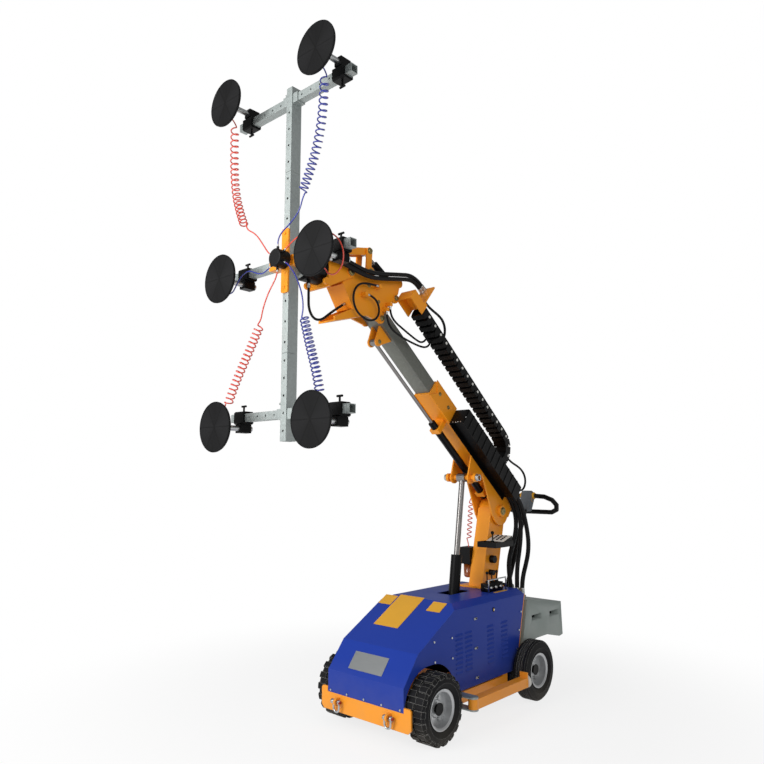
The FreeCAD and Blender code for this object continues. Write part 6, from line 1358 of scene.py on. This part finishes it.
class LifterFittings(LifterStep):
    """Crimp the fittings on the hoses' ends"""

    bl_idname = "lifter.fittings"
    bl_label = "Hose fittings"

    def make(self, context):
        ends = [(place(x, *at), Vector(way), r, body) for at, way, x, r, body in FITTINGS]
        ends += [(boom_place(x, along, up), BOOM_ALONG * sign, r, body)
                 for along, up, x, r, sign, body in BOOM_FITTINGS]
        tube = settings("sizes").tube / 2 / MM
        ends += [(place(*port), Vector(outward), tube, "vacuum_frame")
                 for _, _, port, outward, *_ in COILS.values()]
        for _, (first, second, *_) in LINKS.values():
            way = place(*second) - place(*first)
            ends.append((place(*first), way.normalized(), tube, "vacuum_frame"))
        shapes = defaultdict(bmesh.new)
        for spot, way, r, body in ends:
            self.crimp(shapes[body], pointing(spot, way), r)
        for body, shape in shapes.items():
            fitted(body + "_hose_fittings", shape, ("bright",), body)

    def crimp(self, shape, frame_at, r):
        nut = r * 1.2
        lathed(shape, [(0, 0), (0, r * 1.35), (nut * 0.9, r * 1.35), (nut, r * 1.25), (nut, 0)], frame_at, 6)
        sleeve = [(nut * 0.8, 0), (nut * 0.8, r * 1.12)]
        for i in range(3):
            at = nut + i * r * 0.6
            sleeve += [(at, r * 1.16), (at + r * 0.35, r * 1.16), (at + r * 0.42, r * 1.1)]
        sleeve += [(nut + r * 1.9, r * 1.1), (nut + r * 2, r * 1.02), (nut + r * 2, 0)]
        lathed(shape, sleeve, frame_at, 20)


class LifterHoodFittings(LifterStep):
    """Put the locks and latches on the hood's sides"""

    bl_idname = "lifter.hood_fittings"
    bl_label = "Hood fittings"

    def make(self, context):
        shape = bmesh.new()
        for way in (-1, 1):
            lock = pointing(place(way * HOOD_SIDE_X, *HOOD_LOCK), (way, 0, 0))
            lathed(shape, LOCK_RIM, lock, 24)
            lathed(shape, LOCK_CORE, lock, 24, 1)
            for y, z in HOOD_LATCHES:
                at = Matrix.Translation(place(way * (HOOD_SIDE_X + LATCH_OUT), y, z))
                rounded_box(shape, at, LATCH_SIZE, LATCH_ROUND, finish_index=2)
                stud = place(way * (HOOD_SIDE_X + STUD_OUT), y - STUD_AHEAD, z)
                lathed(shape, LATCH_STUD, pointing(stud, (way, 0, 0)), 12, 2)
        fitted("hood_locks", shape, ("plastic", "brass", "bright"), "chassis")


class LifterTillerHead(LifterStep):
    """Shell the tiller's head and trim it"""

    bl_idname = "lifter.tiller_head"
    bl_label = "Tiller head"

    def make(self, context):
        foot, head = Vector(JOINTS["tiller_tip"]["pos_m"]), place(0, *TILLER_HEAD)
        up = (head - foot).normalized()
        back = Vector((0, up.z, -up.y))
        lean = Matrix((Vector((1, 0, 0)), back, up)).transposed().to_4x4()
        shape = bmesh.new()
        at = Matrix.Translation(head + up * TILLER_SHELL_UP * MM) @ lean
        rounded_box(shape, at, TILLER_SHELL, TILLER_SHELL_ROUND, segments=5)
        for way in (-1, 1):
            grip = head + up * TILLER_GRIP_UP * MM + Vector((way * TILLER_GRIP_X * MM, 0, 0))
            lathed(shape, GRIP_COLLAR, pointing(grip, (way, 0, 0)), 32, 1)
            plate = head + up * TILLER_PLATE_UP * MM + Vector((way * TILLER_PLATE_X * MM, 0, 0))
            at = Matrix.Translation(plate) @ lean
            rounded_box(shape, at, TILLER_PLATE, TILLER_PLATE_ROUND, finish_index=1)
        fitted("tiller_shell", shape, ("housing", "trim"), "tiller")


class LifterStageSet(LifterStep):
    """Set the floor, the lights and the camera"""

    bl_idname = "lifter.stage"
    bl_label = "Stage"

    def make(self, context):
        stage = settings("stage")
        scene = context.scene
        scene.view_settings.view_transform = "Standard"
        self.floor()
        self.surroundings(scene, stage.fill)
        for name, where, size, share in LIGHTS:
            self.lamp(name, where, size, stage.key * share)
        camera = bpy.data.cameras.new("camera")
        camera.lens, camera.sensor_width = stage.lens, SENSOR_MM
        seen = linked("camera", camera)
        level = math.cos(stage.rise)
        ahead = Vector((-math.sin(stage.azimuth) * level, math.cos(stage.azimuth) * level,
                        math.sin(stage.rise)))
        seen.matrix_world = (Matrix.Translation(stage.camera)
                             @ ahead.to_track_quat("-Z", "Y").to_matrix().to_4x4())
        scene.camera = seen

    def floor(self):
        shape = bmesh.new()
        bmesh.ops.create_grid(shape, x_segments=1, y_segments=1, size=FLOOR_SIZE)
        mesh = bpy.data.meshes.new("floor")
        shape.to_mesh(mesh)
        shape.free()
        # Matt studio paper: white to the camera, with the machine's shadow left on it near the wheels.
        paper, tree, at, shader = start("studio_paper")
        finish(tree, shader, {}, Base_Color=(0.9, 0.9, 0.9, 1), Roughness=0.9, Specular_IOR_Level=0.1)
        away = add(tree, "VectorMath", {0: at["Object"]}, operation="LENGTH")
        fade = add(tree, "MapRange", {"Value": away.outputs["Value"], "From Min": 1.2, "From Max": 3.4,
                                      "To Min": 0.8, "To Max": 1.0}, interpolation_type="SMOOTHSTEP")
        light = add(tree, "LightPath")
        seen = add(tree, "Math", {0: light.outputs["Is Camera Ray"], 1: light.outputs["Is Glossy Ray"]},
                   operation="MAXIMUM")
        share = add(tree, "Math", {0: seen.outputs["Value"], 1: fade.outputs["Result"]},
                    operation="MULTIPLY")
        white = add(tree, "Emission", {"Strength": 1.0})
        mixed = add(tree, "MixShader", {0: share.outputs["Value"], 1: shader.outputs["BSDF"],
                                        2: white.outputs["Emission"]})
        tree.links.new(mixed.outputs["Shader"], tree.nodes["Material Output"].inputs["Surface"])
        mesh.materials.append(paper)
        linked("floor", mesh)

    def surroundings(self, scene, strength):
        world = bpy.data.worlds.new("studio")
        scene.world = world
        world.use_nodes = True
        tree = world.node_tree
        light = add(tree, "LightPath")
        seen = add(tree, "Math", {0: light.outputs["Is Camera Ray"],
                                  1: light.outputs["Is Transmission Ray"]}, operation="MAXIMUM")
        level = add(tree, "MapRange", {"Value": seen.outputs["Value"], "To Min": strength, "To Max": 1.0})
        back = tree.nodes["Background"]
        back.inputs["Color"].default_value = (1, 1, 1, 1)
        tree.links.new(level.outputs["Result"], back.inputs["Strength"])

    def lamp(self, name, where, size, power):
        light = bpy.data.lights.new(name, "AREA")
        light.size, light.energy = size, power
        piece = linked(name, light)
        aim = Vector(LIGHT_AIM) - Vector(where)
        piece.matrix_world = Matrix.Translation(where) @ aim.to_track_quat("-Z", "Y").to_matrix().to_4x4()


class LifterPanel(bpy.types.Panel):
    """The lifter's steps and settings in the sidebar"""

    bl_idname = "VIEW3D_PT_lifter"
    bl_label = "Glass Panel Lifter"
    bl_space_type = "VIEW_3D"
    bl_region_type = "UI"
    bl_category = "Lifter"

    def draw(self, context):
        for step in STEPS:
            self.layout.operator(step.bl_idname)
        for kind in ("sizes", "colours", "stage"):
            group = settings(kind)
            for key in group.__annotations__:
                self.layout.prop(group, key)


STEPS = (LifterFinishes, LifterTwoTone, LifterVacuumTubes, LifterMastCoil, LifterHydraulicHoses, LifterPads,
         LifterWheelNuts, LifterEnergyChain, LifterHingePins, LifterBoltHeads, LifterDuctEnd,
         LifterShadePlates, LifterControlPanel, LifterFittings, LifterHoodFittings, LifterTillerHead,
         LifterStageSet)
GROUPS = {"colours": LifterColours, "sizes": LifterSizes, "stage": LifterStage}


def register():
    for cls in (*GROUPS.values(), *STEPS, LifterPanel):
        bpy.utils.register_class(cls)
    for kind, group in GROUPS.items():
        setattr(bpy.types.Scene, "lifter_" + kind, PointerProperty(type=group))


def unregister():
    for kind in GROUPS:
        delattr(bpy.types.Scene, "lifter_" + kind)
    for cls in reversed((*GROUPS.values(), *STEPS, LifterPanel)):
        bpy.utils.unregister_class(cls)


def main():
    register()
    for step in STEPS:
        group, name = step.bl_idname.split(".")
        getattr(getattr(bpy.ops, group), name)()


if __name__ == "__main__":
    main()
